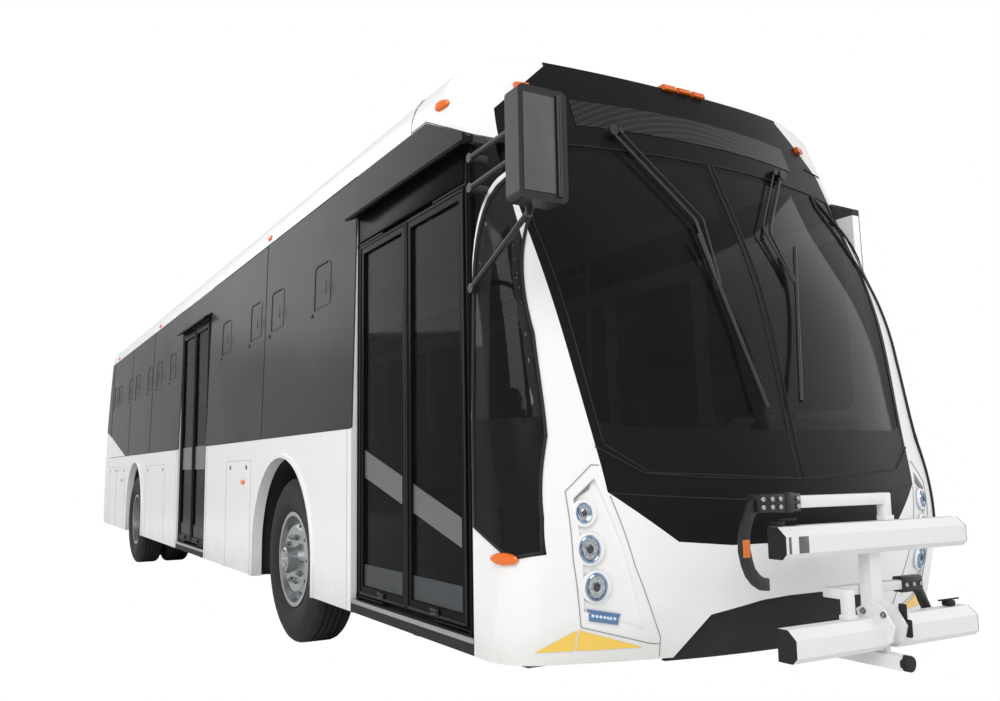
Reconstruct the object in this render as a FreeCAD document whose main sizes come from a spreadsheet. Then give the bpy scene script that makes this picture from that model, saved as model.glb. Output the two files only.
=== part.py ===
"""A twelve-metre low-entry city bus with a folding bicycle rack on its front.

Frame: +Z is up from the ground, the front faces -Y and the door side is -X. The bus is laid
out from its front axle, where Y is 0, and each finished piece is then moved along Y so that the
middle of the overall length, from the rack to the tail, is the origin.
"""
import FreeCAD, Part
import math
import os
from types import SimpleNamespace
import Sketcher
from FreeCAD import Placement, Rotation, Vector

doc = FreeCAD.newDocument("city_bus")

# Driving sizes in millimetres, each in a cell of its own.
SIZES = {
    # Overall
    "wheelbase": 5950,
    "nose_reach": 3085,
    "nose_z": 800,
    "tail_reach": 3120,
    "rack_reach": 420,
    "body_width": 2500,
    "skirt_z": 357,
    "belt_z": 1304,
    "header_z": 2440,
    "band_top_z": 2685,
    "tumblehome": 30,
    "wall": 60,
    "skin": 30,
    "glass_thickness": 8,
    "seat_gap": 0.3,
    # Roof
    "crown_z": 3030,
    "roof_bow": 6000,
    "roof_corner": 250,
    "cap_seam": 1910,
    # Nose
    "nose_start": 2520,
    "nose_corner": 200,
    "nose_bow": 3200,
    "foot_reach": 3000,
    "sill_reach": 3023,
    "sill_z": 1234,
    "screen_middle_z": 1850,
    "screen_middle_reach": 2895,
    "header_reach": 2645,
    "header_line_z": 2475,
    "brow_reach": 2475,
    "brow_z": 2920,
    "mask_brow_half": 765,
    "mask_shoulder_half": 1047,
    "mask_shoulder_z": 2668,
    "mask_waist_half": 1048,
    "mask_waist_z": 2080,
    "mask_sill_half": 952,
    "mask_sill_z": 1350,
    "mask_foot_half": 905,
    "mask_foot_z": 987,
    "mask_toe_half": 636,
    "mask_toe_z": 796,
    "mask_bottom_z": 774,
    "screen_margin": 32,
    "screen_top_z": 2500,
    "screen_corner_half": 895,
    "screen_corner_z": 1165,
    "screen_toe_half": 728,
    "screen_toe_z": 1056,
    "screen_bottom_z": 1026,
    "screen_divider": 34,
    "display_half": 700,
    "display_bottom_z": 2600,
    "display_top_z": 2812,
    "seam_top_z": 1092,
    "seam_foot_half": 688,
    "lamp_outer_radius": 48,
    "lamp_inner_radius": 58,
    "pocket_depth": 14,
    # Tail
    "tail_start": 8330,
    "tail_corner": 240,
    "tail_bow": 6500,
    "tail_foot_reach": 3090,
    "tail_bump_z": 620,
    "tail_waist_reach": 3060,
    "tail_waist_z": 1740,
    "tail_top_reach": 2830,
    "rear_window_half": 800,
    "rear_window_z": 1800,
    "rear_window_height": 620,
    "hatch_half": 860,
    "hatch_z": 560,
    "hatch_height": 1030,
    "hatch_gap": 8,
    "hatch_skin": 40,
    # Floor
    "floor_z": 420,
    "floor_thickness": 30,
    "rear_floor_z": 860,
    "step_start": 3470,
    # Wheels
    "tyre_radius": 520,
    "tyre_width": 296,
    "rim_radius": 286,
    "rim_flange_radius": 298,
    "rim_width": 230,
    "front_track_half": 1040,
    "kingpin_half": 860,
    "rear_outer_half": 1093,
    "twin_spacing": 330,
    "spindle_radius": 40,
    "rear_spindle_radius": 62,
    "running_gap": 0.3,
    "arch_radius": 646,
    "arch_half": 618,
    "rear_arch_half": 570,
    "housing_front_inner": 470,
    "housing_rear_inner": 565,
    "housing_skin": 18,
    # Doors
    "front_door_front": 2520,
    "front_door_rear": 1220,
    "rear_door_front": 2156,
    "rear_door_rear": 3346,
    "leaf_z": 452,
    "leaf_top_z": 2402,
    "front_leaf_top_z": 2264,
    "leaf_thickness": 34,
    "leaf_frame": 45,
    "leaf_setback": 34,
    "pillar_radius": 20,
    "pillar_offset": 27,
    "front_pillar_offset": 50,
    "leaf_clearance": 7,
    "arm_thickness": 10,
    "arm_width": 34,
    # Rack
    "rack_half": 515,
    "rack_pivot_z": 480,
    "rack_pivot_reach": 3390,
    "rack_tube": 50,
    "tray_height": 112,
    "hook_tube": 44,
    "hook_thickness": 22,
    # Driver's place
    "steering_x": 580,
    "steering_reach": 2330,
    "steering_z": 1320,
    "steering_radius": 215,
    "steering_grip": 15,
    "steering_tilt": 30,
    "rail_radius": 17,
    "post_radius": 15.5,
    "rail_half": 430,
    "low_rail_z": 2330,
    "high_rail_z": 2600,
    "lamp_depth": 22,
}

dims = doc.addObject("Spreadsheet::Sheet", "dims")
for row, (alias, value) in enumerate(SIZES.items(), start=1):
    dims.set(f"A{row}", alias)
    dims.set(f"B{row}", str(value))
    dims.setAlias(f"B{row}", alias)
doc.recompute()


class Size:
    """A length with its value in millimetres and the expression of cells that gives it."""

    def __init__(self, value, text=None):
        self.value = float(value)
        self.text = text or repr(self.value)

    def __float__(self):
        return self.value

    def __neg__(self):
        return Size(-self.value, f"(-{self.text})")

    def __add__(self, other):
        other = as_size(other)
        return Size(self.value + other.value, f"({self.text} + {other.text})")

    def __radd__(self, other):
        return as_size(other) + self

    def __sub__(self, other):
        return self + -as_size(other)

    def __rsub__(self, other):
        return as_size(other) - self

    def __mul__(self, factor):
        return Size(self.value * factor, f"({self.text} * {factor})")

    def __rmul__(self, factor):
        return self * factor

    def __truediv__(self, divisor):
        return Size(self.value / divisor, f"({self.text} / {divisor})")


def as_size(value):
    return value if isinstance(value, Size) else Size(value)


d = SimpleNamespace(**{alias: Size(dims.get(alias), f"dims.{alias}") for alias in SIZES})

# Places that several pieces share.
half = d.body_width / 2
tail_y = d.wheelbase + d.tail_reach
front_y = -(d.nose_reach + d.rack_reach)
row_shift = -(tail_y + front_y) / 2
hub_z = d.tyre_radius
floor_under_z = d.floor_z - d.floor_thickness
inner_half = half - d.wall
leaf_x = half - d.leaf_setback
top_half = half - d.tumblehome
cant_drop = Size(
    math.sqrt(float(d.roof_bow - d.roof_corner) ** 2 - float(top_half - d.roof_corner) ** 2),
    f"sqrt({(d.roof_bow - d.roof_corner).text} ^ 2 - {(top_half - d.roof_corner).text} ^ 2)")
cant_z = d.crown_z - d.roof_bow + cant_drop

AXIS = {"X": Vector(1, 0, 0), "Y": Vector(0, 1, 0), "Z": Vector(0, 0, 1)}
TURN = {
    "X": Rotation(Vector(0, 1, 0), 90),
    "Y": Rotation(Vector(1, 0, 0), -90),
    "Z": Rotation(),
}
nodes = []


# Bound primitives and booleans
def bind(item, **sizes):
    for name, size in sizes.items():
        item.setExpression(name, as_size(size).text)


def place(item, x, y, z, turn=None):
    item.Placement = Placement(Vector(), turn or Rotation())
    for axis, size in zip("xyz", (x, y, z)):
        item.setExpression(f".Placement.Base.{axis}", as_size(size).text)
    return item


def box(name, x, y, z, length, width, height):
    item = doc.addObject("Part::Box", name)
    bind(item, Length=length, Width=width, Height=height)
    return place(item, x, y, z)


def rod(name, axis, x, y, z, radius, length):
    item = doc.addObject("Part::Cylinder", name)
    bind(item, Radius=radius, Height=length)
    return place(item, x, y, z, TURN[axis])


def fuse(name, *items):
    item = doc.addObject("Part::MultiFuse", name)
    item.Shapes = list(items)
    return item


def group(name, *items):
    item = doc.addObject("Part::Compound", name)
    item.Links = list(items)
    return item


def cut(name, base, *tools):
    item = doc.addObject("Part::Cut", name)
    item.Base = base
    item.Tool = tools[0] if len(tools) == 1 else fuse(name + "_tools", *tools)
    return item


def mirrored(name, source, normal="X"):
    item = doc.addObject("Part::Mirroring", name)
    item.Source = source
    item.Normal = AXIS[normal]
    return item


SKETCH_TURN = {"XY": Rotation(), "XZ": Rotation(Vector(1, 0, 0), 90), "YZ": Rotation(Vector(1, 1, 1), 120)}


def outline(sketch, corners):
    """Draws a closed outline in a sketch and binds each corner's place to the cells."""
    count = len(corners)
    spots = [Vector(float(u), float(v), 0) for u, v in corners]
    for i in range(count):
        sketch.addGeometry(Part.LineSegment(spots[i], spots[(i + 1) % count]), False)
    for i in range(count):
        sketch.addConstraint(Sketcher.Constraint("Coincident", i, 2, (i + 1) % count, 1))
    for i, (u, v) in enumerate(corners):
        for kind, size in (("DistanceX", u), ("DistanceY", v)):
            number = sketch.addConstraint(Sketcher.Constraint(kind, -1, 1, i, 1, float(size)))
            sketch.setExpression(f"Constraints[{number}]", as_size(size).text)
    return sketch


def extruded(name, plane, corners, start, length):
    """A prism of an outline in a plane, from start along that plane's own axis."""
    sketch = doc.addObject("Sketcher::SketchObject", name + "_outline")
    outline(sketch, corners)
    offset = {"XY": (0, 0, start), "XZ": (0, start, 0), "YZ": (start, 0, 0)}[plane]
    place(sketch, *offset, SKETCH_TURN[plane])
    item = doc.addObject("Part::Extrusion", name)
    item.Base = sketch
    item.DirMode = "Custom"
    item.Dir = AXIS[{"XY": "Z", "XZ": "Y", "YZ": "X"}[plane]]
    item.Solid = True
    bind(item, LengthFwd=length)
    return item


def turned(name, corners):
    """A body of revolution about X, from an outline of distances along X and radii."""
    body = doc.addObject("PartDesign::Body", name)
    sketch = body.newObject("Sketcher::SketchObject", name + "_outline")
    sketch.AttachmentSupport = [(body_plane(body, "XY_Plane"), "")]
    sketch.MapMode = "FlatFace"
    outline(sketch, corners)
    spin = body.newObject("PartDesign::Revolution", name + "_turned")
    spin.Profile = sketch
    spin.ReferenceAxis = (sketch, ["H_Axis"])
    spin.Angle = 360
    body.Tip = spin
    sketch.Visibility = False
    return body


def body_plane(body, role):
    return next(item for item in body.Origin.OriginFeatures if item.Role == role)


def feature(name, shape):
    item = doc.addObject("Part::Feature", name)
    item.Shape = shape
    return item


def publish(label, item):
    """Gives a finished piece its label and moves it from the axle's frame to the bus's frame."""
    if item.TypeId != "Part::Compound":
        item = group(label + "_placed", item)
    item.Label = label
    item.setExpression(".Placement.Base.y", row_shift.text)
    nodes.append(item)
    return item


# Curved shells of the body
SIDE_MARGIN = 3
ABOVE = 3250
BELOW = 200
LEVELS = 12
AHEAD = 3600
shells = {}


def bowed_arcs(half_width, apex, bow, corner, to_point):
    """Corner arc, bow and corner arc of an outline that bows out to its apex, and where they end."""
    centre = apex - bow
    corner_u = half_width - corner
    corner_v = centre + math.sqrt((bow - corner) ** 2 - corner_u ** 2)
    lean = math.atan2(corner_u, corner_v - centre)
    middle = (math.pi / 2 - lean) / 2
    join = (bow * math.sin(lean), centre + bow * math.cos(lean))
    bulge = (corner_u + corner * math.cos(middle), corner_v + corner * math.sin(middle))
    right = Part.Arc(to_point(half_width, corner_v), to_point(*bulge), to_point(*join))
    crown = Part.Arc(to_point(*join), to_point(0, apex), to_point(-join[0], join[1]))
    left = Part.Arc(to_point(-join[0], join[1]), to_point(-bulge[0], bulge[1]),
                    to_point(-half_width, corner_v))
    return [right.toShape(), crown.toShape(), left.toShape()], corner_v


def closed_outline(arcs, corners):
    """Joins the arcs' open ends through the given corners."""
    ends = [arcs[-1].lastVertex().Point, *corners, arcs[0].firstVertex().Point]
    lines = [Part.LineSegment(a, b).toShape() for a, b in zip(ends, ends[1:])]
    return Part.Wire(Part.__sortEdges__(arcs + lines))


def half_at(z):
    """Half of the body's width at a height."""
    lean = max(0.0, float(z - d.belt_z)) / float(cant_z - d.belt_z)
    return float(half) - float(d.tumblehome) * lean


def body_section(inset, y_from, y_to):
    """The body's cross-section, inset all round, as a solid along Y."""
    def to_point(u, v):
        return Vector(u, y_from, v)
    arcs, _ = bowed_arcs(half_at(cant_z) - inset, float(d.crown_z) - inset, float(d.roof_bow) - inset,
                         float(d.roof_corner) - inset, to_point)
    belt = float(d.belt_z)
    bottom = float(d.skirt_z) - (0 if inset == 0 else 100)
    side = float(half) - inset
    corners = [to_point(-side, belt), to_point(-side, bottom), to_point(side, bottom), to_point(side, belt)]
    return Part.Face(closed_outline(arcs, corners)).extrude(Vector(0, y_to - y_from, 0))


def plan_loft(inset, levels, bow, corner, back, forward):
    """A solid whose plan outline bows towards +Y or -Y and changes with height."""
    wires = []
    for z, reach in levels:
        def to_point(u, v, z=z):
            return Vector(u, forward * v, z)
        arcs, _ = bowed_arcs(half_at(z) + SIDE_MARGIN - inset, reach - inset, bow - inset,
                             corner - inset, to_point)
        wide = half_at(z) + SIDE_MARGIN - inset
        wires.append(closed_outline(arcs, [to_point(-wide, back), to_point(wide, back)]))
    return Part.makeLoft(wires, True, False)


def smooth_profile(knots):
    """A function that gives the reach of a smooth profile through a few knots at any height."""
    curve = Part.BSplineCurve()
    curve.interpolate([Vector(0, float(reach), float(z)) for z, reach in knots])

    def reach_at(z):
        low, high = curve.FirstParameter, curve.LastParameter
        while high - low > 1e-9:
            middle = (low + high) / 2
            if curve.value(middle).z < z:
                low = middle
            else:
                high = middle
        return curve.value(low).y
    return reach_at


def profile_levels(reach_at):
    """Evenly spaced heights with the profile's reach at each."""
    steps = [BELOW + (ABOVE - BELOW) * i / LEVELS for i in range(LEVELS + 1)]
    return [(z, reach_at(z)) for z in steps]


nose_reach_at = smooth_profile([(BELOW - 50, d.foot_reach - 40), (d.skirt_z, d.foot_reach),
                                (d.nose_z, d.nose_reach), (d.sill_z, d.sill_reach),
                                (d.screen_middle_z, d.screen_middle_reach),
                                (d.header_line_z, d.header_reach), (d.brow_z, d.brow_reach),
                                (ABOVE + 50, d.brow_reach - 185)])
tail_y_at = smooth_profile([(BELOW - 50, d.wheelbase + d.tail_foot_reach),
                            (d.tail_bump_z, d.wheelbase + d.tail_reach),
                            (d.tail_waist_z, d.wheelbase + d.tail_waist_reach),
                            (cant_z, d.wheelbase + d.tail_top_reach),
                            (ABOVE + 50, d.wheelbase + d.tail_top_reach - 280)])


def front_loft(inset):
    """Everything behind the front's bowed face, inset from it and from the sides."""
    back = float(d.cap_seam) - 700 - inset
    return plan_loft(inset, profile_levels(nose_reach_at), float(d.nose_bow), float(d.nose_corner), back, -1)


def nose(inset):
    """The volume of the front end, inset all round."""
    if ("nose", inset) not in shells:
        loft = front_loft(inset)
        brow = Vector(0, -float(d.brow_reach), float(d.brow_z) - inset)
        seam = Vector(0, -float(d.cap_seam), float(d.crown_z) - inset)
        run = seam.y - brow.y
        rise = seam.z - brow.z
        radius = (run ** 2 + rise ** 2) / (2 * rise)
        ahead = run * 1.5
        drop = radius - math.sqrt(radius ** 2 - ahead ** 2)
        start = Vector(0, seam.y - ahead, seam.z - drop)
        middle_drop = radius - math.sqrt(radius ** 2 - (ahead / 2) ** 2)
        arc = Part.Arc(start, Vector(0, seam.y - ahead / 2, seam.z - middle_drop), seam).toShape()
        rear = Vector(0, 0, seam.z)
        corners = [seam, rear, Vector(0, 0, 0), Vector(0, -AHEAD, 0), Vector(0, -AHEAD, start.z), start]
        lines = [Part.LineSegment(a, b).toShape() for a, b in zip(corners, corners[1:])]
        fall = Part.Face(Part.Wire(Part.__sortEdges__([arc] + lines)))
        fall.translate(Vector(-2000, 0, 0))
        under_brow = fall.extrude(Vector(4000, 0, 0))
        section = body_section(inset, -3600, 0)
        shells["nose", inset] = loft.common(section).common(under_brow)
    return shells["nose", inset]


def tail(inset):
    """The volume of the rear end, inset all round."""
    if ("tail", inset) not in shells:
        levels = profile_levels(tail_y_at)
        back = float(d.tail_start) - 900 - inset
        loft = plan_loft(inset, levels, float(d.tail_bow), float(d.tail_corner), back, 1)
        section = body_section(inset, 7000, 9600)
        shells["tail", inset] = loft.common(section)
    return shells["tail", inset]


def front_prism(corners, y_from=-3500, y_to=-1900):
    """A prism along Y of an outline seen from the front, given as X and Z pairs."""
    points = [Vector(float(x), y_from, float(z)) for x, z in corners]
    face = Part.Face(Part.makePolygon(points + points[:1]))
    return face.extrude(Vector(0, y_to - y_from, 0))


def side_prism(corners, x_from, x_to):
    """A prism along X of an outline seen from the side, given as Y and Z pairs."""
    points = [Vector(float(x_from), float(y), float(z)) for y, z in corners]
    face = Part.Face(Part.makePolygon(points + points[:1]))
    return face.extrude(Vector(float(x_to) - float(x_from), 0, 0))


def mask_half(margin=0.0):
    """The black front's edge as X and Z pairs, from its shoulder to its foot."""
    return [(d.mask_shoulder_half - margin, d.mask_shoulder_z), (d.mask_waist_half - margin, d.mask_waist_z),
            (d.mask_sill_half - margin, d.mask_sill_z), (d.mask_foot_half - margin, d.mask_foot_z)]


def mask_prism():
    """The black front as one prism, its long side edges smooth curves."""
    shoulder_to_foot = [Vector(float(x), -3500, float(z)) for x, z in mask_half()]
    side = Part.BSplineCurve()
    side.interpolate(shoulder_to_foot)
    top = Vector(float(d.mask_brow_half), -3500, float(d.brow_z) + 15)
    above = float(d.crown_z)
    corners = [Vector(0, -3500, above), Vector(top.x, -3500, above), top, shoulder_to_foot[0]]
    low = [shoulder_to_foot[-1], Vector(float(d.mask_toe_half), -3500, float(d.mask_toe_z)),
           Vector(float(d.mask_toe_half) - 240, -3500, float(d.mask_bottom_z)),
           Vector(0, -3500, float(d.mask_bottom_z))]
    edges = [Part.LineSegment(a, b).toShape() for a, b in zip(corners, corners[1:])]
    edges.append(side.toShape())
    edges += [Part.LineSegment(a, b).toShape() for a, b in zip(low, low[1:])]
    edges.append(Part.LineSegment(low[-1], corners[0]).toShape())
    right = Part.Face(Part.Wire(Part.__sortEdges__(edges))).extrude(Vector(0, 1600, 0))
    whole = right.fuse(right.mirror(Vector(), AXIS["X"])).removeSplitter()
    return whole.cut(front_loft(float(d.wall) + 5))


def screen_half(margin=0.0):
    """One windscreen pane's outline as X and Z pairs, larger by a negative margin."""
    inner = d.screen_divider / 2 + margin
    top = d.screen_top_z - margin
    return [(inner, top), (d.mask_shoulder_half - d.screen_margin - margin, top),
            (d.mask_waist_half - d.screen_margin - margin, d.mask_waist_z),
            (d.mask_sill_half - d.screen_margin - margin, d.mask_sill_z),
            (d.screen_corner_half - margin, d.screen_corner_z + margin),
            (d.screen_toe_half - margin, d.screen_toe_z + margin),
            (inner, d.screen_bottom_z + margin)]


def display_outline(margin=0.0):
    wide = d.display_half - margin
    low = d.display_bottom_z + margin
    high = d.display_top_z - margin
    return [(-wide, low), (wide, low), (wide, high), (-wide, high)]


def flip(shape):
    return shape.mirror(Vector(), AXIS["X"])


def quarter_outline(margin=0.0):
    """The quarter window's outline as Y and Z pairs, in the body's front corner."""
    m = float(margin)
    start = -float(d.nose_start)
    return [(start - 12 - m, 2500 - m), (-2560 + m / 2, 2440 - m), (-2640 + m, 2080), (-2760 + m, 1600),
            (-2835 + m, 1200), (-2868 + m, 900), (-2872 + m, 765 + m), (-2790, 745 + m),
            (start - 12 - m, 850 + m)]


def quarter_hole_outline():
    """The opening behind the quarter window, which ends below the pane's narrow tip."""
    return [(-2557, 2230), (-2581, 2230), (-2615, 2080), (-2735, 1600), (-2810, 1200), (-2843, 900),
            (-2845, 795), (-2790, 775), (-2557, 880)]


def front_cap_region():
    """The part of the nose that is the white cap, seen from the side."""
    start = -float(d.nose_start)
    top = float(d.band_top_z)
    seam = -float(d.cap_seam)
    return side_prism([(-3600, 250), (start, 250), (start, 2470), (seam - 160, top), (seam, top),
                       (seam, 3300), (-3600, 3300)], -1400, 1400)


def intake_outline(margin=0.0):
    """The dark opening in the lower bumper, as X and Z pairs."""
    right = [(634 - margin, 340), (471 - margin, 511 - margin), (225, 552 - margin), (85, 560 - margin)]
    return right + [(-x, z) for x, z in reversed(right)]


def pocket_prism():
    """The sunk panel round the headlamps."""
    right = front_prism([(1036, 960), (949, 1040), (751, 472), (992, 552)], -3500, -2400)
    return right.fuse(flip(right))


def build_nose():
    shell = nose(0).cut(nose(float(d.wall)))
    face = nose(0).cut(nose(float(d.skin)))
    glass = nose(0).cut(nose(float(d.glass_thickness)))
    rebate = nose(0).cut(nose(float(d.glass_thickness) + float(d.seat_gap)))
    gap = float(d.seat_gap)
    mask = mask_prism()
    screen = front_prism(screen_half())
    screens = screen.fuse(flip(screen))
    screen_seat = front_prism(screen_half(-gap))
    screen_seats = screen_seat.fuse(flip(screen_seat))
    screen_hole = front_prism(screen_half(22))
    screen_holes = screen_hole.fuse(flip(screen_hole))
    display = front_prism(display_outline())
    display_seat = front_prism(display_outline(-gap))
    display_hole = front_prism(display_outline(15))
    frame = face.common(mask).cut(rebate.common(screen_seats)).cut(screen_holes)
    frame = frame.cut(rebate.common(display_seat)).cut(display_hole)
    publish("front_mask", feature("mask_shape", frame))
    publish("display_glass", feature("display_shape", glass.common(display)))

    lean = (float(d.mask_foot_half) - float(d.seam_foot_half)) / (float(d.mask_foot_z) - float(d.skirt_z))
    seam_low = d.seam_foot_half - lean * (float(d.skirt_z) - 200)
    seam = front_prism([(d.mask_foot_half, d.mask_foot_z), (seam_low, 200), (-seam_low, 200),
                        (-d.mask_foot_half, d.mask_foot_z)])
    low = front_prism([(-1400, 200), (1400, 200), (1400, d.seam_top_z), (-1400, d.seam_top_z)])
    white = shell.common(front_cap_region()).cut(mask)
    quarter = side_prism(quarter_outline(), QUARTER_FROM, 1400)
    quarter_seat = side_prism(quarter_outline(-gap), QUARTER_FROM - gap, 1400)
    quarter_hole = side_prism(quarter_hole_outline(), QUARTER_FROM, 1400)
    seats = rebate.common(quarter_seat.fuse(flip(quarter_seat)))
    holes = quarter_hole.fuse(flip(quarter_hole))
    white = white.cut(seats).cut(holes)
    quarters = glass.common(quarter.fuse(flip(quarter)))
    publish("windscreen", feature("windscreen_shape", Part.makeCompound([glass.common(screens), quarters])))

    corners = white.common(low).cut(seam)
    hitch_notch = Part.makeBox(54, 900, 200, Vector(-27, -3400, 190))
    bumper = white.common(low).common(seam).cut(hitch_notch)
    upper = white.cut(low)
    publish("front_cap", feature("cap_shape", upper))
    corners = corners.cut(nose(0).cut(nose(float(d.pocket_depth))).common(pocket_prism()))
    lamps = []
    for x, z, radius in LAMPS:
        bore = Part.makeCylinder(radius + gap, 900, Vector(x, -3400, z), AXIS["Y"])
        pin = Part.makeCylinder(radius, 900, Vector(x, -3400, z), AXIS["Y"])
        corners = corners.cut(bore).cut(flip(bore))
        lamp = nose(5).cut(nose(48)).common(pin)
        lamps += [lamp, flip(lamp)]
    publish("front_corners", feature("corner_shape", corners))
    intake = front_prism(intake_outline(), -3500, -2600)
    grille = front_prism(intake_outline(d.seat_gap), -3500, -2600)
    panel = nose(22).cut(nose(44)).common(grille).cut(hitch_notch)
    publish("front_bumper", feature("bumper_shape", bumper.cut(intake)))
    publish("bumper_intake", feature("intake_shape", panel))
    publish("headlamps", feature("lamp_shape", Part.makeCompound(lamps)))


QUARTER_FROM = 1078
LAMPS = [(1000, 912, float(d.lamp_outer_radius)), (985, 781, float(d.lamp_inner_radius)),
         (954, 642, float(d.lamp_inner_radius))]


HINGE_X = 560
HINGE_RADIUS = 11
HINGE_LENGTH = 46


def hatch_hinge(x):
    """The fixed and the moving half of one hinge of the engine hatch, outside its top edge."""
    y, z = hatch_axis()
    half_length = HINGE_LENGTH / 2
    pin = Part.makeCylinder(5, 2 * HINGE_LENGTH, Vector(x - HINGE_LENGTH, y, z), AXIS["X"])
    fixed = pin
    for start in (x - HINGE_LENGTH - half_length, x + half_length + 1):
        knuckle = Part.makeCylinder(HINGE_RADIUS, HINGE_LENGTH - 1, Vector(start, y, z), AXIS["X"])
        web = Part.makeBox(HINGE_LENGTH - 1, 60, 7, Vector(start, y - 60, z + 4))
        fixed = fixed.fuse(knuckle).fuse(web)
    barrel = Part.makeCylinder(HINGE_RADIUS, HINGE_LENGTH, Vector(x - half_length, y, z), AXIS["X"])
    web = Part.makeBox(HINGE_LENGTH, 60, 7, Vector(x - half_length, y - 60, z - 11))
    bore = Part.makeCylinder(5 + float(d.running_gap), 3 * HINGE_LENGTH,
                             Vector(x - 1.5 * HINGE_LENGTH, y, z), AXIS["X"])
    return fixed, barrel.fuse(web).cut(bore)


def hatch_axis():
    """Where the hatch's hinge line runs: just outside the skin, at the hatch's top edge."""
    z = float(d.hatch_z + d.hatch_height)
    bow = float(d.tail_bow)
    inner_end = HINGE_X - 1.5 * HINGE_LENGTH
    sag = bow - math.sqrt(bow ** 2 - inner_end ** 2)
    return tail_y_at(z) - sag + HINGE_RADIUS + 4, z - float(d.hatch_gap) / 2


def build_tail():
    shell = tail(0).cut(tail(float(d.wall)))
    region = side_prism([(d.tail_start, 250), (9700, 250), (9700, 3300), (d.tail_start, 3300)], -1400, 1400)
    shell = shell.common(region)
    gap = float(d.seat_gap)

    def window(margin):
        wide = d.rear_window_half - margin
        low = d.rear_window_z + margin
        high = d.rear_window_z + d.rear_window_height - margin
        return front_prism([(-wide, low), (wide, low), (wide, high), (-wide, high)], 8000, 9700)

    def hatch(margin):
        wide = d.hatch_half - margin
        low = d.hatch_z + margin
        high = d.hatch_z + d.hatch_height - margin
        return front_prism([(-wide, low), (wide, low), (wide, high), (-wide, high)], 8000, 9700)

    rebate = tail(0).cut(tail(float(d.glass_thickness) + gap))
    glass = tail(0).cut(tail(float(d.glass_thickness)))
    cap = shell.cut(rebate.common(window(-gap))).cut(window(25)).cut(hatch(0))
    publish("rear_window", feature("rear_window_shape", glass.common(window(0))))
    panel = tail(0).cut(tail(float(d.hatch_skin))).common(hatch(float(d.hatch_gap)))
    slots = [Part.makeBox(620, 1200, 16, Vector(120, 8500, z)) for z in range(700, 1160, 46)]
    panel = panel.cut(Part.makeCompound(slots))
    for x in (-HINGE_X, HINGE_X):
        fixed, moving = hatch_hinge(x)
        cap = cap.fuse(fixed)
        panel = panel.fuse(moving)
    publish("rear_cap", feature("rear_cap_shape", cap))
    publish("engine_hatch", feature("hatch_shape", panel))


def arch_tool(centre_y, half_length, side, height=None):
    """The opening of a wheel arch through a side wall."""
    top = float(hub_z) + float(height or d.arch_radius)
    radius = float(half_length)
    base = Part.makeBox(400, 2 * radius, top - radius - 100, Vector(side * 1200 - 200, centre_y - radius, 100))
    dome = Part.makeCylinder(radius, 400, Vector(side * 1200 - 200, centre_y, top - radius), AXIS["X"])
    return base.fuse(dome)


def wall_solid(side, inset_from, inset_to, y_from, y_to, z_from, z_to):
    """A length of side wall between two insets from the skin, leaning in above the belt."""
    def x_at(z, inset):
        return side * (half_at(z) - inset)
    levels = [z for z in (z_from, float(d.belt_z), z_to) if z_from <= z <= z_to]
    outer = [Vector(x_at(z, inset_from), y_from, z) for z in levels]
    inner = [Vector(x_at(z, inset_to), y_from, z) for z in reversed(levels)]
    points = outer + inner
    face = Part.Face(Part.makePolygon(points + points[:1]))
    return face.extrude(Vector(0, y_to - y_from, 0))


def window_hole(side, y_from, y_to, z_from, z_to, corner=60):
    """A window opening with rounded corners, through a side wall."""
    hole = Part.makeBox(300, y_to - y_from, z_to - z_from, Vector(side * 1200 - 150, y_from, z_from))
    edges = [e for e in hole.Edges if abs(e.Curve.Direction.x) > 0.9]
    return hole.makeFillet(corner, edges)


RIGHT_BAYS = {"front": [(-1150, -390), (-310, 400), (480, 1240), (1320, 2090)],
              "rear": [(3430, 4480), (4560, 5610), (5690, 6740), (6820, 7850)]}
LEFT_BAYS = [(-2440, -1330), (-1250, -390), (-310, 400), (480, 1540), (1620, 2680), (2760, 3820),
             (3900, 4960), (5040, 6100), (6180, 7240), (7320, 8250)]
WINDOW_Z = (1380, 2330)


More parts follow.
